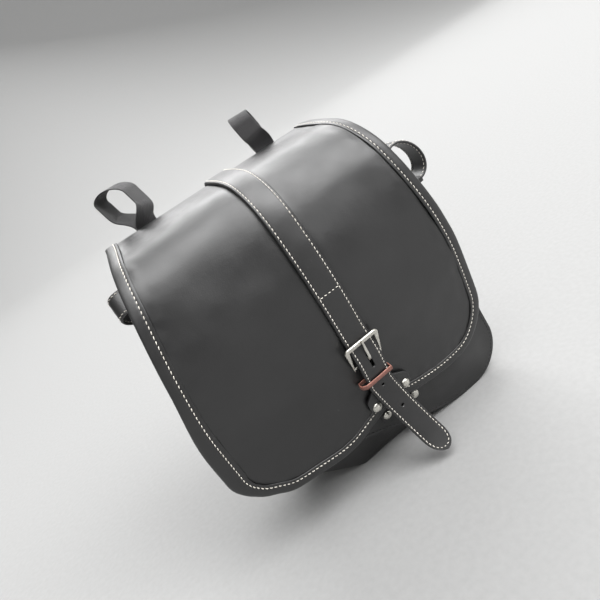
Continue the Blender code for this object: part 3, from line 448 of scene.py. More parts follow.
def band_section(width, thickness, dome=0.0, groove_at=None, groove=0.0, ribs=0, rib_depth=0.0, fine=28):
    """A strap's section as (across, up) points, up from 0 to its thickness: domed, grooved or ribbed on top."""
    half, corner = width / 2, min(thickness * 0.42, 0.0012)
    across = np.linspace(-half + corner, half - corner, fine)
    shape = dome * (1 - (across / half) ** 2)
    if groove_at is not None:
        shape = shape - groove * np.exp(-(((np.abs(across) - groove_at) / 0.0008) ** 2))
    if ribs:
        shape = shape + rib_depth * np.cos(2 * pi * ribs * (across / width + 0.5))
    under = rib_depth * np.cos(2 * pi * ribs * (across / width + 0.5)) if ribs else 0 * across
    turn = np.radians((65, 40, 15, -15, -40, -65))
    right = np.stack([half - corner + corner * np.cos(turn),
        thickness / 2 + (thickness / 2) * np.sin(turn)], axis=-1)
    top = np.stack([across, thickness + shape], axis=-1)
    bottom = np.stack([across[::-1], -under[::-1]], axis=-1)
    left = right[::-1] * (-1, 1)
    return np.concatenate([top, right, bottom, left])


def ribbon(name, centres, sides, ups, section, widths=None, angle=40, closed=False):
    """A strap swept along centres; ups point to its top face. Its attributes are metres along and across."""
    widths = np.ones(len(centres)) if widths is None else widths
    across = section[None, :, 0] * widths[:, None]
    rings = centres[:, None] + sides[:, None] * across[..., None] + ups[:, None] * section[None, :, 1, None]
    reach = np.concatenate([[0.0], np.cumsum(np.linalg.norm(np.diff(centres, axis=0), axis=1))])
    along = np.repeat(reach, len(section))
    edge = smooth((np.abs(section[:, 0]) / np.abs(section[:, 0]).max() - 0.93) / 0.07)
    attributes = {"along": along, "across": across.ravel(), "wear": np.tile(edge, len(centres))}
    return sweep(name, rings, attributes, closed, angle)


def stitches(name, paths, pitch=STITCH_PITCH, length=STITCH_LENGTH, radius=THREAD_RADIUS, slant=0.16):
    """Thread showing on seams: each stitch a short arched strand whose ends dive into the leather."""
    shares = np.array((0.0, 0.12, 0.32, 0.5, 0.68, 0.88, 1.0))
    rise = radius * np.array((-0.9, 0.05, 0.55, 0.7, 0.55, 0.05, -0.9))
    girth = radius * np.array((0.45, 0.85, 1.0, 1.0, 1.0, 0.85, 0.45))
    turn = np.linspace(0, 2 * pi, 8, endpoint=False)
    points, faces, total = [], [], 0
    template = [tuple(face) for face in quads(len(shares), len(turn), wrap=True)]
    template.append(tuple(range(len(turn))))
    template.append(tuple(reversed(range((len(shares) - 1) * len(turn), len(shares) * len(turn)))))
    for path, normals in paths:
        reach = np.concatenate([[0.0], np.cumsum(np.linalg.norm(np.diff(path, axis=0), axis=1))])
        count = max(1, int(reach[-1] / pitch))
        real_pitch = reach[-1] / count
        for index in range(count):
            s = (index + 0.5) * real_pitch + (shares - 0.5) * length
            spot = np.stack([np.interp(s, reach, path[:, k]) for k in range(3)], axis=-1)
            up = unit(np.stack([np.interp(s, reach, normals[:, k]) for k in range(3)], axis=-1))
            run = unit(np.gradient(spot, axis=0))
            side = unit(np.cross(run, up))
            spot = spot + up * rise[:, None] + side * ((shares - 0.5) * length * slant)[:, None]
            ring = spot[:, None] + girth[:, None, None] * (
                side[:, None] * np.cos(turn)[None, :, None] + up[:, None] * np.sin(turn)[None, :, None]
            )
            points.append(ring.reshape(-1, 3))
            faces += [tuple(corner + total for corner in face) for face in template]
            total += len(shares) * len(turn)
    return new_object(name, np.concatenate(points), faces, angle=60)


def cylinder(radius, depth, matrix, segments=24):
    mesh = bpy.data.meshes.new("cutter")
    work = bmesh.new()
    bmesh.ops.create_cone(
        work, cap_ends=True, segments=segments, radius1=radius, radius2=radius, depth=depth, matrix=matrix
    )
    work.to_mesh(mesh)
    work.free()
    return mesh


def carve(piece, mesh, operation="DIFFERENCE"):
    """Applies one Boolean to a piece at once, and drops the cutter."""
    cutter = bpy.data.objects.new("cutter", mesh)
    bpy.context.scene.collection.objects.link(cutter)
    boolean = piece.modifiers.new("carve", "BOOLEAN")
    boolean.operation = operation
    boolean.object = cutter
    bpy.context.view_layer.update()
    result = bpy.data.meshes.new_from_object(piece.evaluated_get(bpy.context.evaluated_depsgraph_get()))
    piece.modifiers.clear()
    piece.data = result
    bpy.data.objects.remove(cutter, do_unlink=True)
    return piece


def softened(node, name, voxel, passes=3):
    """A CAD solid remade with rounded edges, for small cut pieces of leather."""
    piece = bpy.data.objects.new(name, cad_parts[node].data.copy())
    bpy.context.scene.collection.objects.link(piece)
    remesh = piece.modifiers.new("remesh", "REMESH")
    remesh.mode = "VOXEL"
    remesh.voxel_size = voxel
    soften = piece.modifiers.new("soften", "SMOOTH")
    soften.factor = 0.5
    soften.iterations = passes
    bpy.context.view_layer.update()
    mesh = bpy.data.meshes.new_from_object(piece.evaluated_get(bpy.context.evaluated_depsgraph_get()))
    bpy.data.objects.remove(piece, do_unlink=True)
    mesh.materials.clear()
    return finish_mesh(name, mesh, 80)


# ---------------------------------------------------------------- materials

class Nodes:
    """A small helper to wire a material's nodes."""

    def __init__(self, name):
        self.material = bpy.data.materials.new(name)
        self.material.use_nodes = True
        self.tree = self.material.node_tree
        self.shader = self.tree.nodes["Principled BSDF"]

    def add(self, kind, inputs=None, **settings):
        made = self.tree.nodes.new(kind)
        for key, value in settings.items():
            setattr(made, key, value)
        for key, value in (inputs or {}).items():
            self.put(made.inputs[key], value)
        return made

    def put(self, socket, value):
        if isinstance(value, bpy.types.NodeSocket):
            self.tree.links.new(value, socket)
        else:
            socket.default_value = value

    def set(self, **inputs):
        for key, value in inputs.items():
            self.put(self.shader.inputs[key.replace("_", " ")], value)

    def place(self):
        return self.add("ShaderNodeTexCoord").outputs["Object"]

    def attribute(self, name):
        return self.add("ShaderNodeAttribute", attribute_name=name).outputs["Fac"]

    def noise(self, vector, scale, detail=3.0, roughness=0.5):
        made = self.add("ShaderNodeTexNoise",
            {"Vector": vector, "Scale": scale, "Detail": detail, "Roughness": roughness})
        return made.outputs["Fac"]

    def cells(self, vector, scale, feature="F1"):
        return self.add("ShaderNodeTexVoronoi", {"Vector": vector, "Scale": scale},
            feature=feature).outputs["Distance"]

    def ramp(self, value, low, high, to_low=0.0, to_high=1.0):
        made = self.add("ShaderNodeMapRange", {
            "Value": value, "From Min": low, "From Max": high, "To Min": to_low, "To Max": to_high
        })
        return made.outputs["Result"]

    def math(self, operation, a, b=0.0):
        return self.add("ShaderNodeMath", {0: a, 1: b}, operation=operation).outputs["Value"]

    def mix(self, share, a, b):
        made = self.add("ShaderNodeMix", data_type="RGBA")
        for socket, value in ((made.inputs["Factor"], share), (made.inputs["A"], a), (made.inputs["B"], b)):
            self.put(socket, value if isinstance(value, (bpy.types.NodeSocket, float)) else (*value, 1.0))
        return made.outputs["Result"]

    def bump(self, height, distance, strength=1.0, normal=None):
        made = self.add("ShaderNodeBump", {"Height": height, "Distance": distance, "Strength": strength})
        if normal is not None:
            self.put(made.inputs["Normal"], normal)
        return made.outputs["Normal"]


def stretched(nodes, vector, scales):
    return nodes.add("ShaderNodeMapping", {"Vector": vector, "Scale": scales}).outputs["Vector"]


def leather(name, dark, light, raw=(0.10, 0.09, 0.08), rough=(0.40, 0.52), grain=0.00010, wear=0.25):
    """Smooth coated leather: pores and fine creases, cloudy sheen, faint scratches, lighter raw edges."""
    nodes = Nodes(name)
    place = nodes.place()
    cloud = nodes.noise(place, 14.0, 4.0)
    mottle = nodes.noise(place, 170.0, 3.0)
    base = nodes.mix(nodes.ramp(cloud, 0.30, 0.72), dark, light)
    base = nodes.mix(nodes.ramp(mottle, 0.55, 0.85, 0.0, 0.35), base, tuple(0.6 * c for c in dark))
    streaks = nodes.noise(stretched(nodes, place, (26.0, 5.0, 9.0)), 9.0, 2.0)
    scratch = nodes.ramp(streaks, 0.735, 0.76)
    scuffed = nodes.math("MULTIPLY", scratch, nodes.ramp(nodes.noise(place, 22.0, 2.0), 0.55, 0.65, 0.0, 0.5))
    base = nodes.mix(scuffed, base, tuple(min(1.0, 3.2 * c + 0.02) for c in light))
    edge = nodes.math("MULTIPLY", nodes.attribute("wear"),
        nodes.ramp(nodes.noise(place, 120.0, 2.0), 0.4, 0.7, 0.2, wear + 0.2))
    base = nodes.mix(edge, base, tuple(min(1.0, 2.6 * c + 0.015) for c in light))
    cut = nodes.ramp(nodes.attribute("raw"), 0.35, 0.9)
    base = nodes.mix(cut, base, raw)
    shine = nodes.ramp(nodes.noise(place, 30.0, 5.0), 0.3, 0.7, *rough)
    shine = nodes.math("ADD", shine, nodes.math("MULTIPLY", cut, 0.25))
    pores = nodes.cells(place, 1150.0, "SMOOTH_F1")
    creases = nodes.noise(place, 620.0, 5.0, 0.62)
    fibres = nodes.noise(place, 2600.0, 2.0)
    height = nodes.math("ADD", nodes.math("MULTIPLY", pores, 0.55), nodes.math("MULTIPLY", creases, 0.9))
    height = nodes.math("ADD", height, nodes.math("MULTIPLY", fibres, 0.25))
    soft = nodes.bump(nodes.noise(place, 60.0, 3.0), 0.0005, 0.5)
    nodes.set(Base_Color=base, Roughness=shine, Normal=nodes.bump(height, grain, 0.7, soft))
    nodes.shader.inputs["Specular IOR Level"].default_value = 0.74
    nodes.shader.inputs["Coat Weight"].default_value = 0.10
    nodes.shader.inputs["Coat Roughness"].default_value = 0.45
    return nodes.material


def suede(name, dark, light):
    """A matte fibrous backing."""
    nodes = Nodes(name)
    place = nodes.place()
    nap = nodes.noise(place, 900.0, 4.0, 0.65)
    cloud = nodes.noise(place, 25.0, 3.0)
    base = nodes.mix(nodes.ramp(cloud, 0.3, 0.7), dark, light)
    base = nodes.mix(nodes.ramp(nap, 0.45, 0.75, 0.0, 0.5), base, tuple(1.5 * c for c in light))
    nodes.set(Base_Color=base, Normal=nodes.bump(nap, 0.0004, 0.8))
    nodes.set(Roughness=nodes.ramp(nap, 0.3, 0.7, 0.82, 0.97))
    nodes.shader.inputs["Sheen Weight"].default_value = 0.15
    return nodes.material


def webbing_cloth():
    """Black woven tape: ribs along its length and picks across them, its colour darkened in the weave's hollows
    as painted shade.
    """
    nodes = Nodes("woven_webbing")
    along, across = nodes.attribute("along"), nodes.attribute("across")
    place = nodes.place()
    row = nodes.math("MULTIPLY", along, 2 * pi / 0.0011)
    rib = nodes.math("MULTIPLY", across, 2 * pi / 0.00208)
    shifted = nodes.math("ADD", row, nodes.math("MULTIPLY", nodes.math("SIGN", nodes.math("SINE", rib)), 1.5))
    weave = nodes.math("MULTIPLY", nodes.math("ABSOLUTE", nodes.math("SINE", shifted)),
                       nodes.math("ABSOLUTE", nodes.math("SINE", rib)))
    fuzz = nodes.noise(place, 3200.0, 3.0, 0.7)
    height = nodes.math("ADD", weave, nodes.math("MULTIPLY", fuzz, 0.45))
    # painted shade: the colour follows the weave's height, dark in the hollows between threads and lighter on
    # their crests
    base = nodes.mix(nodes.ramp(height, 0.1, 1.1), (0.0045, 0.0043, 0.0046), (0.024, 0.022, 0.024))
    lint = nodes.ramp(nodes.noise(place, 1400.0, 2.0), 0.70, 0.78, 0.0, 0.35)
    base = nodes.mix(lint, base, (0.09, 0.085, 0.08))
    nodes.set(Base_Color=base, Normal=nodes.bump(height, 0.00035, 0.9))
    nodes.set(Roughness=nodes.ramp(fuzz, 0.3, 0.7, 0.74, 0.92))
    nodes.shader.inputs["Sheen Weight"].default_value = 0.25
    nodes.shader.inputs["Sheen Roughness"].default_value = 0.5
    return nodes.material


def thread(name, dark, light):
    nodes = Nodes(name)
    place = nodes.place()
    twist = nodes.noise(place, 1900.0, 2.0)
    tone = nodes.noise(place, 60.0, 2.0)
    base = nodes.mix(nodes.ramp(tone, 0.3, 0.7), dark, light)
    base = nodes.mix(nodes.ramp(twist, 0.55, 0.8, 0.0, 0.45), base, tuple(0.45 * c for c in dark))
    nodes.set(Base_Color=base, Normal=nodes.bump(twist, 0.0002, 0.8))
    nodes.set(Roughness=nodes.ramp(twist, 0.3, 0.7, 0.62, 0.80))
    return nodes.material


def metal(name, colour, rough):
    """Satin plate: fine brushing, a little tarnish in patches."""
    nodes = Nodes(name)
    place = nodes.place()
    brush = nodes.noise(stretched(nodes, place, (40.0, 500.0, 500.0)), 9.0, 3.0)
    tarnish = nodes.noise(place, 240.0, 4.0, 0.6)
    base = nodes.mix(nodes.ramp(tarnish, 0.45, 0.75, 0.0, 0.55), colour, tuple(0.55 * c for c in colour))
    nodes.set(Base_Color=base, Normal=nodes.bump(brush, 0.00006, 0.5))
    nodes.set(Roughness=nodes.ramp(tarnish, 0.3, 0.75, rough, rough + 0.17))
    nodes.shader.inputs["Metallic"].default_value = 1.0
    return nodes.material


def fibre_board():
    nodes = Nodes("fibre_board")
    place = nodes.place()
    chips = nodes.noise(stretched(nodes, place, (1.0, 1.0, 4.0)), 420.0, 5.0, 0.7)
    nodes.set(Base_Color=nodes.mix(nodes.ramp(chips, 0.35, 0.65), (0.13, 0.105, 0.075), (0.24, 0.20, 0.15)))
    nodes.set(Normal=nodes.bump(chips, 0.0003, 0.6), Roughness=nodes.ramp(chips, 0.3, 0.7, 0.8, 0.92))
    return nodes.material


BLACK = leather("black_leather_smooth", (0.0030, 0.0030, 0.0032), (0.0062, 0.0061, 0.0063))
STRAP_BLACK = leather("black_leather_strap", (0.0030, 0.0029, 0.0030), (0.0060, 0.0058, 0.0060),
    raw=(0.014, 0.013, 0.012))
BROWN = leather("bare_brown_leather", (0.135, 0.050, 0.036), (0.230, 0.090, 0.066), (0.20, 0.09, 0.06),
    (0.42, 0.60), 0.00016, 0.5)
LINING_CLOTH = suede("dark_lining", (0.020, 0.020, 0.021), (0.034, 0.033, 0.033))
RAW_EDGE = suede("cut_edge", (0.20, 0.185, 0.165), (0.32, 0.30, 0.27))
WEBBING_CLOTH = webbing_cloth()
THREAD = thread("cream_thread", (0.60, 0.565, 0.50), (0.78, 0.74, 0.67))
BLACK_THREAD = thread("black_thread", (0.012, 0.012, 0.013), (0.03, 0.03, 0.03))
NICKEL = metal("satin_nickel", (0.72, 0.70, 0.64), 0.24)
BOARD_FIBRE = fibre_board()


# ---------------------------------------------------------------- fitting pieces to the frame

def dress(piece, material, slot, *nodes):
    """Gives a piece its finish and, if it stands for CAD nodes, hides those nodes."""
    piece.data.materials.clear()
    piece.data.materials.append(material)
    if nodes:
        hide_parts(*nodes)
    return piece


def bend_with_flap(piece):
    """A piece that runs from the bag's rear over the hinge line onto the flap: only its placement is baked into
    its mesh; it does not bend or move with the flap.
    """
    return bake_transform(piece)


# ---------------------------------------------------------------- the flap

FLAP_TOP = PANEL
BINDING_OVER = PANEL + 1.5 * GAP
BINDING_UNDER = -(LINING + 3.5 * GAP)


def rear_thin(along):
    """The leather is pared thin where it folds down behind the bag: 1 at the rear, 0 on the flap."""
    return 1 - smooth((along + 0.012) / 0.016)


def flap_grid(columns, rows, start, inset):
    """Matching (x, along) grids over the flap, crowding at its sides and its round corners."""
    across = np.sin((np.linspace(0, 1, columns) - 0.5) * pi)
    share = np.linspace(0, 1, rows)
    along = start + (flap_end(across)[:, None] - inset - start) * share[None, :]
    x = across[:, None] * (edge_half_width(along, across[:, None]) - inset)
    return x, along


def make_flap_leather():
    x, along = flap_grid(170, 250, REAR_FOLD, EDGE_ROOM)
    thin = rear_thin(along)
    relief = flap_relief(x, along)
    under_strap = np.exp(-((np.abs(x - STRAP_X) / 0.017) ** 8)) * smooth((along - 0.01) / 0.02)
    relief = relief * (1 - under_strap) - 0.0002 * under_strap
    top = flap_point(x, along, between(FLAP_TOP, 0.0013, thin) + relief)
    under = flap_point(x, along, between(0.0, 0.0002, thin))
    piece = closed_sheet("flap_leather", top, under)
    dress(piece, BLACK, "black_leather", "flap_panel", "top_binding")
    bend_with_flap(piece)

    x, along = flap_grid(90, 110, 0.002, EDGE_ROOM)
    lining = closed_sheet("flap_inside", flap_point(x, along, -GAP), flap_point(x, along, -GAP - LINING))
    dress(lining, LINING_CLOTH, "leather_lining", "flap_lining")
    bend_with_flap(lining)


def binding_section():
    """The folded strip's closed section as (inward, height) points: lip, sewn groove, roll and underside."""
    over, under = BINDING_OVER, BINDING_UNDER
    outer = [
        (0.01450, over + 0.0001), (0.01465, over + 0.0005), (0.01445, over + 0.0009),
            (0.0139, over + 0.00112),
        (0.0128, over + 0.0012), (0.0118, over + 0.00108), (0.0112, over + 0.00086), (0.0108, over + 0.00076),
        (0.0104, over + 0.00086), (0.0098, over + 0.0011), (0.0085, over + 0.00135), (0.0068, over + 0.00142),
        (0.0050, over + 0.00138), (0.0034, over + 0.00125), (0.0020, over + 0.0010), (0.0010, over + 0.00055),
        (0.0003, over - 0.0001), (0.0000, over - 0.0012), (0.0000, (over + under) / 2),
            (0.0001, under + 0.0006),
        (0.0007, under - 0.0003), (0.0018, under - 0.0008), (0.0036, under - 0.0010),
            (0.0070, under - 0.0011),
        (0.0102, under - 0.0009), (0.0120, under - 0.0009), (0.0127, under - 0.0006),
            (0.0128, under - 0.0001),
    ]
    inner = [
        (0.0120, under + 0.0001), (0.0040, under + 0.0001), (0.0014, under + 0.0003),
        (0.0012, (over + under) / 2), (0.0014, over - 0.0003), (0.0040, over - 0.0001),
            (0.0120, over - 0.0001),
    ]
    return np.array(outer + inner)


def make_flap_binding():
    path = outline_of(-0.0105)
    section = binding_section()
    reach = np.arange(len(path)) * 0.0012
    puff = 0.00010 * np.cos(2 * pi * reach / STITCH_PITCH)[:, None] * np.exp(
        -(((section[None, :, 0] - BINDING_STITCH) / 0.0016) ** 2)
    )
    uneven = waves(reach, 0 * reach, 11, (0.06, 0.031), 0.00016)[:, None]
    top_side = (section[:, 1] > 0.0)[None, :]
    thin = rear_thin(path[:, 1])[:, None]
    height = section[None, :, 1] * (1 - 0.52 * thin) + (uneven - puff) * top_side * (1 - thin)
    widen = 1 + np.where(path[:, 0] < 0, left_swell(path[:, 1]), 0.0) / BINDING_WIDTH
    inward = section[:, 0][None, :] * widen[:, None]
    normal = inward_of(path)
    spot = path[:, None, :] + normal[:, None, :] * inward[..., None]
    rings = flap_point(spot[..., 0], spot[..., 1], height)
    wear = np.tile(np.exp(-((section[:, 0] / 0.0016) ** 2)), len(path))
    piece = sweep("flap_edge_binding", rings, {"wear": wear})
    dress(piece, STRAP_BLACK, "black_leather", "flap_binding")
    bend_with_flap(piece)

    sewn = path[7:-7]
    row = sewn + inward_of(sewn) * (BINDING_STITCH * widen[7:-7])[:, None]
    line = flap_point(row[:, 0], row[:, 1], BINDING_OVER + 0.00085)
    seat = flap_normal(sewn[:, 0], sewn[:, 1])
    under = flap_point(row[:, 0], row[:, 1], BINDING_UNDER - 0.00085)
    thread_piece = stitches("flap_edge_stitches", [(line, seat), (under, -seat)])
    dress(thread_piece, THREAD, "raw_edge")
    bend_with_flap(thread_piece)


def make_rear_seam():
    """The stitch line that holds the flap's rear fold to the back panel."""
    paths = []
    for along in (-0.0265,):
        x = np.linspace(-0.1235, 0.1235, 200)
        path = flap_point(x, along, 0.00135)
        paths.append((path, flap_normal(x, np.full_like(x, along))))
    piece = stitches("rear_seam_stitches", paths)
    dress(piece, THREAD, "raw_edge")
    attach(piece, "bag")


# ---------------------------------------------------------------- the strap

def strap_drift(along):
    return TAIL_DRIFT * np.maximum(0.0, (along - DRIFT_FROM) / (TAIL_END - DRIFT_FROM))


def strap_height(along):
    """Underside of the strap over the flap: on the panel, then over the heel bar, then free."""
    on_panel = PANEL + GAP
    over_heel = HEEL_BAR_HEIGHT + CHAPE_ROLL_RADIUS + GAP + 0.0002
    rise_from = HEEL_BAR_AT - 0.0435
    height = between(on_panel, over_heel, smooth((along - rise_from) / (HEEL_BAR_AT - rise_from)))
    past = np.maximum(0.0, along - FLARE_FROM)
    lift = height + TAIL_FLARE * past * past
    return between(lift, 0.0015, rear_thin(along))


def strap_half_width(along):
    """Full width down to a short rounded point."""
    start = TAIL_END - 0.0165
    past = np.clip((along - start) / (TAIL_END - start), 0.0, 1.0)
    return STRAP_WIDTH / 2 * np.sqrt(np.maximum(0.0, 1 - past**2.4))


def strap_point(across, along, height):
    return flap_point(STRAP_X + strap_drift(along) + across, along, strap_height(along) + height)


def strap_normal(across, along):
    step = 0.001
    dx = strap_point(across + step, along, 0.0) - strap_point(across - step, along, 0.0)
    dv = strap_point(across, along + step, 0.0) - strap_point(across, along - step, 0.0)
    return unit(np.cross(dv, dx))


def make_strap():
    along = np.concatenate([
        np.arange(REAR_FOLD + 0.004, TAIL_END - 0.017, 0.0011),
        TAIL_END - 0.0165 * (1 - np.sin(np.linspace(0, pi / 2, 34)[:-1])),
    ])
    section = band_section(STRAP_WIDTH, STRAP_THICKNESS, 0.0007, STRAP_WIDTH / 2 - STRAP_STITCH_INSET,
        0.00035, fine=44)
    narrow = strap_half_width(along) / (STRAP_WIDTH / 2)
    across = section[None, :, 0] * narrow[:, None]
    thin = rear_thin(along)[:, None]
    seam = np.exp(-(((along - STRAP_CROSS_SEAM) / 0.0009) ** 2))[:, None]
    uneven = waves(across, along[:, None], 21, (0.045, 0.028), 0.00016)
    height = section[None, :, 1] * between(1.0, 0.62, thin)
    top = (section[None, :, 1] > STRAP_THICKNESS * 0.75)
    height = height + top * (uneven * (1 - thin) - 0.00035 * seam)
    rings = strap_point(across, along[:, None] * np.ones_like(across), height)
    half = np.abs(section[:, 0]) / (STRAP_WIDTH / 2)
    wear = np.tile(smooth((half - 0.95) / 0.05), len(along))
    piece = sweep("strap_leather", rings, {"wear": wear})
    holes = [(HEEL_BAR_AT - 0.0025, 0.0042, 0.0195)]
    holes += [(HEEL_BAR_AT - 0.005 + index * HOLE_PITCH, 0.0042, 0.0042) for index in (1, 2)]
    for middle, width, length in holes:
        carve(piece, slot_mesh(middle, width, length))
    dress(piece, STRAP_BLACK, "black_leather", "strap_upper", "strap_tail")
    bend_with_flap(piece)

    inset = STRAP_STITCH_INSET
    down = np.arange(REAR_FOLD + 0.008, TAIL_END - 0.0165, 0.001)
    round_end = TAIL_END - 0.0165 + (0.0165 - inset) * np.sin(np.linspace(0, pi / 2, 40))
    narrow_end = (STRAP_WIDTH / 2 - inset) * np.cos(np.linspace(0, pi / 2, 40)) ** 0.8
    side_along = np.concatenate([down, round_end])
    side_across = np.concatenate([np.full_like(down, STRAP_WIDTH / 2 - inset), narrow_end])
    whole_along = np.concatenate([side_along, side_along[::-1][1:]])
    whole_across = np.concatenate([-side_across, side_across[::-1][1:]])
    cross = np.linspace(-(STRAP_WIDTH / 2 - inset), STRAP_WIDTH / 2 - inset, 30)
    paths = []
    for a, s in ((whole_across, whole_along), (cross, np.full_like(cross, STRAP_CROSS_SEAM))):
        thin_here = rear_thin(s)
        lift = STRAP_THICKNESS * between(1.0, 0.62, thin_here) - 0.00005
        paths.append((strap_point(a, s, lift), strap_normal(a, s)))
    thread_piece = stitches("strap_stitches", paths, 0.0046, 0.0034)
    dress(thread_piece, THREAD, "raw_edge")
    bend_with_flap(thread_piece)


def on_flap(x, along, height, tilt=0.0):
    """A frame on the flap, in bag coordinates: X across, Y up towards the hinge, Z outward."""
    step = 0.002
    up = unit(flap_point(x, along - step, 0.0) - flap_point(x, along + step, 0.0))
    out = np.cross((1.0, 0.0, 0.0), up)
    place = flap_point(x, along, 0.0) + out * height
    turn = Matrix((Vector((1, 0, 0)), Vector(up), Vector(out))).transposed().to_4x4()
    return Matrix.Translation(Vector(place)) @ turn @ Matrix.Rotation(tilt, 4, "X")


def in_row(matrix):
    return Matrix.Translation(Vector(SHIFT)) @ matrix


def slot_mesh(along, width, length):
    """A cutter for a hole or a slot through the strap, in row coordinates."""
    middle = on_flap(STRAP_X + float(strap_drift(along)), along,
        float(strap_height(along)) + STRAP_THICKNESS / 2)
    straight = max(0.0, length - width)
    turn = np.linspace(0, 2 * pi, 32, endpoint=False)
    outline = np.stack([width / 2 * np.cos(turn),
        width / 2 * np.sin(turn) + np.sign(np.sin(turn) + 1e-9) * straight / 2], -1)
    rings = np.stack([np.column_stack([outline, np.full(32, z)]) for z in (-0.006, 0.006)])
    piece = sweep("slot_cutter", rings)
    mesh = piece.data
    bpy.data.objects.remove(piece, do_unlink=True)
    mesh.transform(in_row(middle) @ Matrix.Translation(Vector(-SHIFT)))
    return mesh


def heel_frame():
    """The buckle's own frame: X along its heel bar, Y to its toe bar, Z outward."""
    reach = HEEL_BAR_AT - TOE_BAR_AT - BUCKLE_BAR / 2
    bar_height = float(strap_height(HEEL_BAR_AT - reach)) + STRAP_THICKNESS + 0.0009 + BUCKLE_THICKNESS / 2
    return on_flap(STRAP_X, HEEL_BAR_AT, HEEL_BAR_HEIGHT,
        float(np.arcsin((bar_height - HEEL_BAR_HEIGHT) / reach)))


HEEL = heel_frame()
BUCKLE_REACH = HEEL_BAR_AT - TOE_BAR_AT


def moved(points, matrix):
    """Points carried from a local frame to bag coordinates."""
    turn = np.array(matrix.to_3x3())
    return points @ turn.T + np.array(matrix.translation)


def superellipse(width, height, power, count):
    angle = np.linspace(0, 2 * pi, count, endpoint=False)
    c, s = np.cos(angle), np.sin(angle)
    return np.stack([
        width / 2 * np.sign(c) * np.abs(c) ** (2 / power), height / 2 * np.sign(s) * np.abs(s) ** (2 / power)
    ], axis=-1)


def tube_along(path, ups, widths, heights, power=3.5, count=20):
    """Rings of a soft-cornered section along a path; ups point out of the section's flat face."""
    run = unit(np.gradient(path, axis=0))
    side = unit(np.cross(run, ups))
    base = superellipse(1.0, 1.0, power, count)
    return path[:, None] + side[:, None] * (base[None, :, 0] * widths[:, None])[..., None] + ups[:, None] * (
        base[None, :, 1] * heights[:, None]
    )[..., None]


def make_buckle():
    half = (BUCKLE_WIDTH - BUCKLE_BAR) / 2
    corner = 0.0022
    toe = BUCKLE_REACH
    turn = np.linspace(0, pi / 2, 9)
    right = np.stack([half - corner + corner * np.sin(turn), toe - corner + corner * np.cos(turn)], axis=-1)
    down = np.stack([np.linspace(half, half - 0.0010, 30)[1:],
        np.linspace(toe - corner, -BUCKLE_ARM_TAIL, 30)[1:]], axis=-1)
    bar = np.stack([np.linspace(0, half - corner, 14)[:-1], np.full(13, toe)], axis=-1)
    one_side = np.concatenate([bar, right, down])
    flat = np.concatenate([one_side[::-1] * (-1, 1), one_side[1:]])
    path = np.column_stack([flat, np.zeros(len(flat))])
    lower = np.clip((toe - flat[:, 1]) / (toe + BUCKLE_ARM_TAIL), 0.0, 1.0)
    widths = between(BUCKLE_BAR, 0.0012, lower)
    heights = between(BUCKLE_THICKNESS, 0.0016, lower)
    ups = np.tile((0.0, 0.0, 1.0), (len(path), 1))
    piece = sweep("buckle_nickel", moved(tube_along(path, ups, widths, heights, 4.0, 28), HEEL))
    bar_matrix = in_row(HEEL) @ Matrix.Rotation(pi / 2, 4, "Y")
    carve(piece, cylinder(HEEL_BAR_RADIUS * 0.8, 2 * half - 0.0018, bar_matrix, 24), "UNION")
    piece = finish_mesh("buckle_nickel_frame", copy_away(piece), 42)
    dress(piece, NICKEL, "nickel", "buckle_frame")
    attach(piece, "buckle")

    side = np.linspace(0, 1, 40)
    reach = BUCKLE_REACH + BUCKLE_BAR / 2 + 0.0010
    y = between(0.0016, reach, side)
    z = np.interp(y, (0.0016, 0.0042, 0.0085, reach - 0.010, reach - 0.003, reach), (
        0.0022, 0.0058, 0.0073, 0.0043, BUCKLE_THICKNESS / 2 + 0.0015, BUCKLE_THICKNESS / 2 + 0.0010))
    z = np.convolve(np.pad(z, 3, mode="edge"), np.ones(7) / 7, mode="valid")
    path = np.column_stack([np.zeros(40), y, z])
    run = unit(np.gradient(path, axis=0))
    ups = unit(np.cross(np.tile((1.0, 0.0, 0.0), (40, 1)), run))
    widths = between(0.0030, 0.0021,
        smooth((side - 0.4) / 0.6)) * np.sqrt(np.maximum(0.05, 1 - np.clip((side - 0.93) / 0.07, 0, 1) ** 2))
    tongue = sweep("prong_tongue", moved(tube_along(path, ups, widths,
        np.full(40, 0.0019) * (widths / 0.003) ** 0.3, 2.8, 20), HEEL))
    ring = np.linspace(0, 2 * pi, 36, endpoint=False)
    outer, inner = HEEL_BAR_RADIUS + 0.0013, HEEL_BAR_RADIUS + 0.0002
    profile = np.array([(-0.0017, inner), (-0.0017, outer - 0.0003), (-0.0014, outer), (0.0014, outer),
        (0.0017, outer - 0.0003), (0.0017, inner)])
    eye = np.stack([np.column_stack([profile[:, 0], profile[:, 1] * np.cos(a),
        profile[:, 1] * np.sin(a)]) for a in ring])
    eye_piece = sweep("prong_eye", moved(eye, HEEL), closed=True)
    mesh = eye_piece.data
    bpy.data.objects.remove(eye_piece, do_unlink=True)
    carve(tongue, mesh, "UNION")
    prong = finish_mesh("buckle_nickel_prong", copy_away(tongue), 42)
    dress(prong, NICKEL, "nickel", "buckle_prong")
    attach(prong, "prong")


def copy_away(piece):
    """Takes a piece's mesh and drops the object that held it."""
    mesh = piece.data
    bpy.data.objects.remove(piece, do_unlink=True)
    return mesh


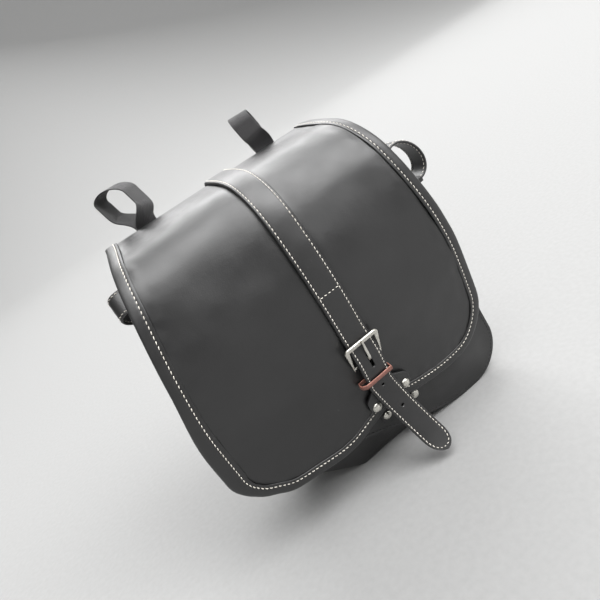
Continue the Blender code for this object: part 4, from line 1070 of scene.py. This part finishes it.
def make_keeper():
    """The brown loop round the strap's tail and the chape: limp, so it bows out past the strap on one side."""
    place = on_flap(STRAP_X, KEEPER_AT, 0.0)
    low = PANEL + GAP + 0.0007
    high = float(strap_height(KEEPER_AT)) + STRAP_THICKNESS + 0.0020
    half = STRAP_WIDTH / 2 + 0.0014
    corners = [(half, low + 0.0012), (half + 0.0002, high - 0.0014), (half - 0.0016, high),
        (0.0, high + 0.0003),
               (-half + 0.001, high), (-half - 0.0020, high - 0.0012),
                   (-half - 0.0052, (high + low) / 2 + 0.001),
               (-half - 0.0046, low + 0.0016), (-half + 0.0005, low + 0.0001), (0.0, low),
                   (half - 0.0016, low)]
    loop = np.array(corners)
    count = len(loop)
    dense = []
    for index in range(count):
        p0, p1, p2, p3 = (loop[(index + k) % count] for k in (-1, 0, 1, 2))
        for t in np.linspace(0, 1, 12, endpoint=False):
            dense.append(0.5 * (2 * p1 + (p2 - p0) * t + (2 * p0 - 5 * p1 + 4 * p2 - p3) * t**2
                + (3 * p1 - p0 - 3 * p2 + p3) * t**3))
    flat = np.array(dense)
    run = unit(np.roll(flat, -1, axis=0) - np.roll(flat, 1, axis=0))
    out = np.stack([-run[:, 1], run[:, 0]], axis=-1)
    if np.sum(out * (flat - flat.mean(0))) < 0:
        out = -out
    base = superellipse(1.0, 1.0, 2.6, 18)
    width = 0.0056 + waves(np.arange(len(flat)) * 0.001, 0 * flat[:, 0], 4, (0.02,), 0.0004)
    skew = 0.0012 * np.sin(np.linspace(0, 2 * pi, len(flat), endpoint=False))
    rings = np.stack([
        np.column_stack([
            flat[i, 0] + out[i, 0] * base[:, 1] * 0.0016,
            base[:, 0] * width[i] + skew[i],
            flat[i, 1] + out[i, 1] * base[:, 1] * 0.0016,
        ]) for i in range(len(flat))
    ])
    piece = sweep("keeper_loop", moved(rings, place),
        {"wear": np.tile(smooth((np.abs(base[:, 0]) - 0.36) / 0.14), len(flat))}, closed=True)
    dress(piece, BROWN, "brown_leather", "keeper")
    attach(piece, "keeper")


def dome(name, radius, height, matrix):
    """A rivet's head: a low dome on a narrow flange."""
    profile = [(0.0, height), (0.18, height * 0.99), (0.36, height * 0.94), (0.54, height * 0.84),
        (0.70, height * 0.69),
               (0.83, height * 0.49), (0.92, height * 0.30), (0.97, height * 0.16), (1.0, height * 0.06),
                   (0.985, -0.0001), (0.5, -0.0002), (0.0, -0.0002)]
    turn = np.linspace(0, 2 * pi, 40, endpoint=False)
    rings = np.stack([
        np.column_stack([max(r, 0.002) * radius * np.cos(turn), max(r, 0.002) * radius * np.sin(turn),
            np.full(40, z)])
        for r, z in profile
    ])
    return sweep(name, moved(rings, matrix))


def make_rivets():
    chape_top = PANEL + 3 * GAP + 0.0010 + 0.0030
    for side, name in ((-1, "left"), (1, "right")):
        seat = on_flap(STRAP_X + CHAPE_DRIFT + side * RIVET_SPREAD, RIVET_AT, chape_top + 0.0002)
        head = dome(f"flap_rivet_head_{name}", RIVET_RADIUS, 0.0030, seat)
        dress(head, NICKEL, "nickel", f"flap_rivet_{name}")
        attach(head, "flap")
        x = STRAP_X + LOCK_DRIFT + side * (RIVET_SPREAD - 0.001)
        head = dome(f"lock_rivet_head_{name}", RIVET_RADIUS, 0.0030,
            facing_front(x, LOCK_Z, 0.0009 + 0.0020 + 0.0009))
        dress(head, NICKEL, "nickel", f"lock_rivet_{name}")
        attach(head, "bag")


def facing_front(x, z, lift):
    """A frame on the front panel's outer face: X across, Y up, Z towards the front."""
    step = 0.004
    slope = float((front_surface_y(x, z + step) - front_surface_y(x, z - step)) / (2 * step))
    up = Vector((0.0, slope, 1.0)).normalized()
    out = Vector((0.0, -1.0, slope)).normalized()
    turn = Matrix((Vector((1, 0, 0)), up, out)).transposed().to_4x4()
    return Matrix.Translation(Vector((x, float(front_surface_y(x, z)), z)) + out * (PANEL + lift)) @ turn


# ---------------------------------------------------------------- the body

def body_relief(x, z):
    return waves(x, z, 31, (0.13, 0.08), 0.0007) + waves(x, z, 32, (0.04,), 0.00020)


def make_front():
    across = np.sin((np.linspace(0, 1, 150) - 0.5) * pi)
    share = np.linspace(0, 1, 150) ** 1.35
    z = front_bottom(across)[:, None] + GAP + (MOUTH_FRONT_Z - front_bottom(across)[:, None]
        - GAP) * share[None, :]
    x = across[:, None] * body_half_width(z)
    from_edge = np.minimum(body_half_width(z) - np.abs(x), z - front_bottom(across)[:, None])
    x = x + spread(x, z)
    y = front_surface_y(x, z)
    soft = smooth((from_edge - 0.005) / 0.03)
    under_lock = np.exp(-(((x - STRAP_X - LOCK_DRIFT) / 0.034) ** 6) - (((z - LOCK_Z - 0.027) / 0.048) ** 6))
    relief = body_relief(x, z) * soft * (1 - under_lock)
    groove = 0.0003 * np.exp(-(((from_edge - 0.0036) / 0.0008) ** 2))
    outer = np.stack([x, y - PANEL - relief + groove, z], axis=-1)
    inner = np.stack([x, y - relief * 0.5, z], axis=-1)
    piece = closed_sheet("front_leather", outer, inner, bulge=0.25)
    dress(piece, BLACK, "black_leather", "front_panel")
    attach(piece, "bag")


def body_strip(path, y, offset=0.0):
    """A strip round the body: path is (x, z) points; y a row of depths; offset moves it outward."""
    run = np.gradient(path, axis=0)
    out = unit(np.stack([-run[:, 1], run[:, 0]], axis=-1))
    if np.sum(out * (path - path.mean(0))) < 0:
        out = -out
    spot = path[:, None, :] + out[:, None, :] * np.broadcast_to(offset, (len(path), len(y)))[..., None]
    depth = np.broadcast_to(y, spot.shape[:2])
    x, z = lifted(spot[..., 0], spot[..., 1], depth)
    return np.stack([x, depth, z], axis=-1)


def trimmed(points):
    """Lowers the strip's two ends to the sloping mouth."""
    limit = mouth_height(points[..., 1])
    points[..., 2] = np.minimum(points[..., 2], limit)
    return points


def make_gusset():
    path = body_path(MOUTH_BACK_Z)
    y = np.linspace(-BODY_DEPTH + SEAM_STRIP + 2 * GAP, -BACK_THICKNESS - SEAM_STRIP - 2 * GAP, 60)
    reach = np.arange(len(path))[:, None] * 0.002
    middle = smooth(np.minimum(y - y[0], y[-1] - y) / 0.03)[None, :]
    flat_bottom = smooth((path[:, 1] - 0.001) / 0.02)[:, None]
    dent = waves(reach, y[None, :], 41, (0.11, 0.07),
        0.0008) * middle * flat_bottom - 0.0010 * middle * flat_bottom
    outer = trimmed(body_strip(path, y, dent - 0.0001))
    inner = trimmed(body_strip(path, y, dent - PANEL))
    piece = closed_sheet("gusset_leather", outer, inner, bulge=0.2)
    dress(piece, BLACK, "black_leather", "gusset")
    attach(piece, "bag")


def make_seams():
    """The cut edges of the layers sewn together round the front and the back, and their stitches."""
    path = body_path(MOUTH_BACK_Z)
    for name, node, y in (
        ("front_seam_strip", "front_welt", -BODY_DEPTH + GAP + SEAM_STRIP / 2),
        ("back_seam_strip", "back_welt", -BACK_THICKNESS - GAP - SEAM_STRIP / 2),
    ):
        depth = np.linspace(-SEAM_STRIP / 2, SEAM_STRIP / 2, 4) + y
        rough = waves(np.arange(len(path))[:, None] * 0.002, depth[None, :] * 9, 51, (0.011, 0.019), 0.00012)
        piece = closed_sheet(name, trimmed(body_strip(path, depth, rough)),
            trimmed(body_strip(path, depth, -0.0045)), bulge=0.1)
        dress(piece, RAW_EDGE, "raw_edge", node)
        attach(piece, "bag")
    paths = []
    inner = np.stack(lifted(*body_path(MOUTH_FRONT_Z - 0.002, -0.0036).T, -BODY_DEPTH), axis=-1)
    y = front_surface_y(inner[:, 0], inner[:, 1])
    paths.append((np.stack([inner[:, 0], y - PANEL + 0.0002, inner[:, 1]], axis=-1),
        np.tile((0.0, -1.0, 0.0), (len(inner), 1))))
    back = np.stack(lifted(*body_path(0.338, -0.0040).T, 0.0), axis=-1)
    paths.append((np.stack([back[:, 0], np.full(len(back), 0.0001), back[:, 1]], axis=-1),
        np.tile((0.0, 1.0, 0.0), (len(back), 1))))
    piece = stitches("body_seam_stitches", paths)
    dress(piece, BLACK_THREAD, "black_leather")
    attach(piece, "bag")


def make_back():
    """The back panel, pressed flat against its board, with a soft rim."""
    rows = 130
    z = np.linspace(0.0, BAG_TOP - 0.008, rows)
    columns = np.linspace(-1, 1, 120)
    low = np.maximum(z, 0.0)
    past = np.clip((CORNER_RADIUS - low) / CORNER_RADIUS, 0.0, 1.0)
    half = np.where(low < CORNER_RADIUS,
        BOTTOM_HALF_WIDTH - CORNER_RADIUS + CORNER_RADIUS * np.sqrt(1 - past**2 + 1e-9), body_half_width(low))
    x = columns[None, :] * half[:, None]
    zz = z[:, None] * np.ones_like(x)
    inside = smooth((half[:, None] - np.abs(x)) / 0.02) * smooth(zz / 0.02)
    relief = waves(x, zz, 61, (0.14, 0.06), 0.00035) * inside - 0.00035 * inside
    relief = relief * smooth((0.32 - zz) / 0.03)
    x, zz = lifted(x, zz, 0.0)
    outer = np.stack([x, 0.0 + relief, zz], axis=-1)
    inner = np.stack([x, np.full_like(x, -BACK_THICKNESS), zz], axis=-1)
    piece = closed_sheet("back_leather", outer, inner, bulge=0.2)
    dress(piece, BLACK, "black_leather", "back_panel")
    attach(piece, "bag")


def make_inside():
    """The lining: a thin skin inside the gusset and the front, and the mouth's facing."""
    path = body_path(MOUTH_BACK_Z - 0.004)
    y = np.linspace(-BODY_DEPTH + 0.006, -0.0075, 24)
    outer = trimmed_below(body_strip(path, y, -PANEL - 0.0012), 0.004)
    inner = trimmed_below(body_strip(path, y, -PANEL - 0.0019), 0.004)
    piece = closed_sheet("side_lining", outer, inner)
    dress(piece, LINING_CLOTH, "leather_lining", "mouth_band")
    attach(piece, "bag")
    across = np.sin((np.linspace(0.02, 0.98, 70) - 0.5) * pi)
    share = np.linspace(0, 1, 70)
    low = front_bottom(across)[:, None] + 0.006
    z = low + (MOUTH_FRONT_Z - 0.004 - low) * share[None, :]
    x = across[:, None] * (body_half_width(z) - 0.005)
    x = x + spread(x, z)
    y = front_surface_y(x, z)
    piece = closed_sheet("front_lining", np.stack([x, y + 0.0010, z], -1), np.stack([x, y + 0.0022, z], -1))
    dress(piece, LINING_CLOTH, "leather_lining")
    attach(piece, "bag")
    for node in ("back_board", "base_board"):
        board = softened(node, node + "_fibre", 0.0016, 1)
        dress(board, BOARD_FIBRE, "board", node)
        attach(board, "bag")


def trimmed_below(points, drop):
    limit = mouth_height(points[..., 1]) - drop
    points[..., 2] = np.minimum(points[..., 2], limit)
    return points


def make_small_leather():
    for node, body, voxel, passes in (
        ("chape", "flap", 0.00055, 4), ("lock_tab", "bag", 0.00060, 4),
            ("loop_keeper", "side_loop_right", 0.00045, 3),
        ("web_patch_left", "bag", 0.00050, 4), ("web_patch_right", "bag", 0.00050, 4),
        ("side_patch_left", "bag", 0.00050, 4), ("side_patch_right", "bag", 0.00050, 4),
    ):
        piece = softened(node, node + "_leather", voxel, passes)
        dress(piece, STRAP_BLACK, "black_leather", node)
        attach(piece, body)
    for node, body in (("flap_burr_left", "flap"), ("flap_burr_right", "flap"), ("lock_burr_left", "bag"),
                       ("lock_burr_right", "bag"), ("snap_plate", "flap"), ("snap_magnet", "bag")):
        piece = softened(node, node + "_nickel", 0.00022 if "burr" in node else 0.0003, 2)
        dress(piece, NICKEL, "nickel", node)
        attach(piece, body)


# ---------------------------------------------------------------- the loops

def web_section(share, half, rise):
    """The webbing's route (sideways, up) from one sewn end over the arch to the other."""
    mirrored = np.minimum(share, 1 - share) * 2
    sign = np.where(share > 0.5, 1.0, -1.0)
    up = between(0.0004, rise - 0.013, np.minimum(1.0, mirrored / 0.62))
    side = between(0.0010, half, smooth(up / 0.030))
    angle = np.maximum(0.0, mirrored - 0.62) / 0.38 * pi / 2
    arch = mirrored > 0.62
    return np.where(arch, sign * half * np.cos(angle), sign * side), np.where(arch,
        rise - 0.013 + 0.013 * np.sin(angle), up)


def make_web_loop(name, x_middle, turn, half, rise, aside):
    share = np.concatenate([np.linspace(0, 1, 190)])
    side, up = web_section(share, half, rise)
    buried = np.linspace(-0.0235, -0.0006, 16)
    side = np.concatenate([np.full(16, side[0]), side, np.full(16, side[-1])])
    up = np.concatenate([buried, up, buried[::-1]])
    twist = pi / 2 if turn > 0 else -pi / 2
    angle = between(twist, turn, smooth(up / 0.034))
    sign = -1.0 if turn < 0 else 1.0
    lean = np.maximum(up, 0.0)
    z = WEB_Z + np.where(up > 0, up * cos(WEB_LEAN), up)
    y = WEB_Y + lean * sin(WEB_LEAN)
    leaning = x_middle - aside * lean * smooth(lean / 0.03)
    centres = np.stack([leaning + sign * side * np.cos(angle), y - sign * side * np.sin(angle), z], axis=-1)
    sides = np.stack([sign * np.sin(angle), sign * np.cos(angle), 0 * angle], axis=-1)
    for _ in range(6):
        centres[1:-1] = (centres[:-2] + 2 * centres[1:-1] + centres[2:]) / 4
    run = unit(np.gradient(centres, axis=0))
    ups = unit(np.cross(run, sides))
    sides = unit(np.cross(ups, run))
    section = band_section(WEB_WIDTH, WEBBING * 0.93, 0.0, ribs=12, rib_depth=0.00009, fine=74)
    section[:, 1] -= WEBBING * 0.93 / 2
    piece = ribbon(name + "_webbing", centres, sides, ups, section, angle=70)
    dress(piece, WEBBING_CLOTH, "webbing", name, name.replace("loop", "root"))
    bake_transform(piece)
    paths = []
    middle_z = WEB_Z - 0.0026 - 0.012
    half_w, half_h = 0.0172, 0.0102
    corners = np.array([(-half_w, -half_h), (half_w, -half_h), (half_w, half_h), (-half_w, half_h),
        (-half_w, -half_h)])
    corners = resample(corners, 0.001)
    y_face = WEB_Y + 0.0010 + WEBBING / 2 + GAP + SIDE_PATCH - 0.0001
    box = np.stack([x_middle + corners[:, 0], np.full(len(corners), y_face), middle_z + corners[:, 1]],
        axis=-1)
    paths.append((box, np.tile((0.0, 1.0, 0.0), (len(box), 1))))
    thread_piece = stitches(name.replace("loop", "patch") + "_stitches", paths, 0.0040, 0.0029)
    dress(thread_piece, THREAD, "raw_edge")
    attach(thread_piece, "bag")


def drop_section(share, reach, bulge, sag):
    """A leather loop's route (outward, up): both ends at its anchor, wide towards its far end."""
    mirrored = np.minimum(share, 1 - share) * 2
    sign = np.where(share > 0.5, 1.0, -1.0)
    radius = bulge / 2
    angle = np.maximum(0.0, mirrored - 0.62) / 0.38 * pi / 2
    straight = between(0.0, reach - radius, np.minimum(1.0, mirrored / 0.62))
    near = between(0.0017, radius, smooth(straight / (reach - radius)))
    arch = mirrored > 0.62
    out = np.where(arch, reach - radius + radius * np.sin(angle), straight)
    up = np.where(arch, sign * radius * np.cos(angle), sign * near)
    return out, up - sag * (out / reach) ** 2


def side_root(z):
    return float(body_half_width(z)) + SIDE_PATCH + 6 * GAP


def make_side_loop(name, side, twist, depth, z, reach, bulge, sag):
    share = np.linspace(0, 1, 220)
    out, up = drop_section(share, reach, bulge, sag)
    turn = twist * smooth(out / SIDE_TWIST_OVER)
    centres = np.stack([side * (side_root(z) + out), depth - up * np.sin(turn), z + up * np.cos(turn)],
        axis=-1)
    for _ in range(8):
        centres[1:-1] = (centres[:-2] + 2 * centres[1:-1] + centres[2:]) / 4
    sides = np.stack([0 * turn, np.cos(turn), np.sin(turn)], axis=-1)
    run = unit(np.gradient(centres, axis=0))
    ups = unit(np.cross(run, sides))
    middle = centres.mean(0)
    if np.sum(ups * (centres - middle)) < 0:
        ups, sides = -ups, -sides
    section = band_section(SIDE_LOOP_WIDTH, SIDE_LEATHER, 0.0003, SIDE_LOOP_WIDTH / 2 - 0.0028, 0.00025,
        fine=44)
    section[:, 1] -= SIDE_LEATHER / 2
    piece = ribbon(name + "_leather", centres, sides, ups, section)
    dress(piece, STRAP_BLACK, "black_leather", name)
    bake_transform(piece)
    paths = []
    for edge in (-1, 1):
        inside = SIDE_LOOP_WIDTH / 2 - 0.0028
        for face in (1, -1):
            lift = SIDE_LEATHER / 2 - 0.0001 if face < 0 else SIDE_LEATHER / 2 + 0.0000
            paths.append((centres[4:-4] + sides[4:-4] * edge * inside + ups[4:-4] * face * lift,
                ups[4:-4] * face))
    thread_piece = stitches(name + "_stitches", paths, 0.0046, 0.0033)
    dress(thread_piece, THREAD, "raw_edge")
    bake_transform(thread_piece)


# ---------------------------------------------------------------- stage, lights and camera

CAMERA_PLACE = Vector((-0.1453, -0.5138, 0.4222))
CAMERA_RIGHT = Vector((0.7744, -0.3978, -0.4919))
CAMERA_UP = Vector((0.5877, 0.1644, 0.7922))
LENS = 29.79


def make_stage():
    nodes = Nodes("pale_stage")
    place = nodes.place()
    speckle = nodes.noise(place, 140.0, 3.0)
    nodes.set(Base_Color=nodes.mix(nodes.ramp(speckle, 0.3, 0.7), (0.245, 0.245, 0.243),
        (0.262, 0.262, 0.260)))
    nodes.shader.inputs["Roughness"].default_value = 0.9
    mesh = bpy.data.meshes.new("stage_sweep")
    work = bmesh.new()
    depth = [(-14.0, 0.0), (5.0, 0.0)]
    depth += [(5.0 + 4.0 * sin(a), 4.0 - 4.0 * cos(a)) for a in np.linspace(0.1, pi / 2, 16)]
    depth += [(9.0, 20.0)]
    rows = [[work.verts.new((x, y, z - 0.0003)) for x in (-20.0, 20.0)] for y, z in depth]
    for low, high in zip(rows, rows[1:]):
        work.faces.new((low[0], low[1], high[1], high[0]))
    work.to_mesh(mesh)
    work.free()
    mesh.shade_smooth()
    mesh.materials.append(nodes.material)
    stage = bpy.data.objects.new("stage_sweep", mesh)
    bpy.context.scene.collection.objects.link(stage)


def add_light(name, place, target, size, power, colour=(1.0, 1.0, 1.0)):
    light = bpy.data.lights.new(name, "AREA")
    light.shape = "RECTANGLE"
    light.size, light.size_y = size
    light.energy = power
    light.color = colour
    holder = bpy.data.objects.new(name, light)
    holder.location = place
    holder.rotation_euler = (Vector(target) - Vector(place)).to_track_quat("-Z", "Y").to_euler()
    bpy.context.scene.collection.objects.link(holder)


# name, place, size, power
SOFTBOXES = (
    ("key_softbox", (2.6, 4.9, 5.6), (8.0, 5.0), 900.0),
    ("top_softbox", (0.5, -1.6, 7.6), (7.0, 5.0), 750.0),
    ("front_window", (5.2, -4.6, 6.2), (6.0, 5.0), 900.0),
    ("front_fill", (-5.4, -6.8, 6.6), (5.4, 5.4), 120.0),
    ("side_fill", (7.6, -3.6, 4.2), (4.8, 6.4), 40.0),
)


def make_lights():
    centre = (0.0, 0.0, 0.2)
    for name, place, size, power in SOFTBOXES:
        add_light(name, place, centre, size, power)
    world = bpy.data.worlds.new("studio_world")
    bpy.context.scene.world = world
    world.use_nodes = True
    tree = world.node_tree
    background = tree.nodes["Background"]
    background.inputs["Strength"].default_value = 1.0
    heading = tree.nodes.new("ShaderNodeTexCoord")
    parts = tree.nodes.new("ShaderNodeSeparateXYZ")
    height = tree.nodes.new("ShaderNodeMapRange")
    height.interpolation_type = "SMOOTHSTEP"
    height.inputs["From Min"].default_value, height.inputs["From Max"].default_value = -0.1, 0.9
    height.inputs["To Min"].default_value, height.inputs["To Max"].default_value = 0.10, 0.62
    tree.links.new(heading.outputs["Generated"], parts.inputs[0])
    tree.links.new(parts.outputs["Z"], height.inputs["Value"])
    tree.links.new(height.outputs["Result"], background.inputs["Color"])
    bpy.context.scene.view_settings.view_transform = "Standard"


def make_camera():
    camera = bpy.data.cameras.new("photo_camera")
    camera.lens = LENS
    camera.sensor_width = 36.0
    camera.clip_start = 0.01
    holder = bpy.data.objects.new("photo_camera", camera)
    right = CAMERA_RIGHT.normalized()
    back = right.cross(CAMERA_UP).normalized()
    up = back.cross(right).normalized()
    turn = Matrix((right, up, back)).transposed().to_4x4()
    holder.matrix_world = Matrix.Translation(CAMERA_PLACE) @ turn
    bpy.context.scene.collection.objects.link(holder)
    bpy.context.scene.camera = holder


make_flap_leather()
make_flap_binding()
make_rear_seam()
make_strap()
make_buckle()
make_keeper()
make_rivets()
make_front()
make_gusset()
make_seams()
make_back()
make_inside()
make_small_leather()
for web in WEB_LOOPS:
    make_web_loop(*web)
for side_loop in SIDE_LOOPS:
    make_side_loop(*side_loop)
make_stage()
make_lights()
make_camera()
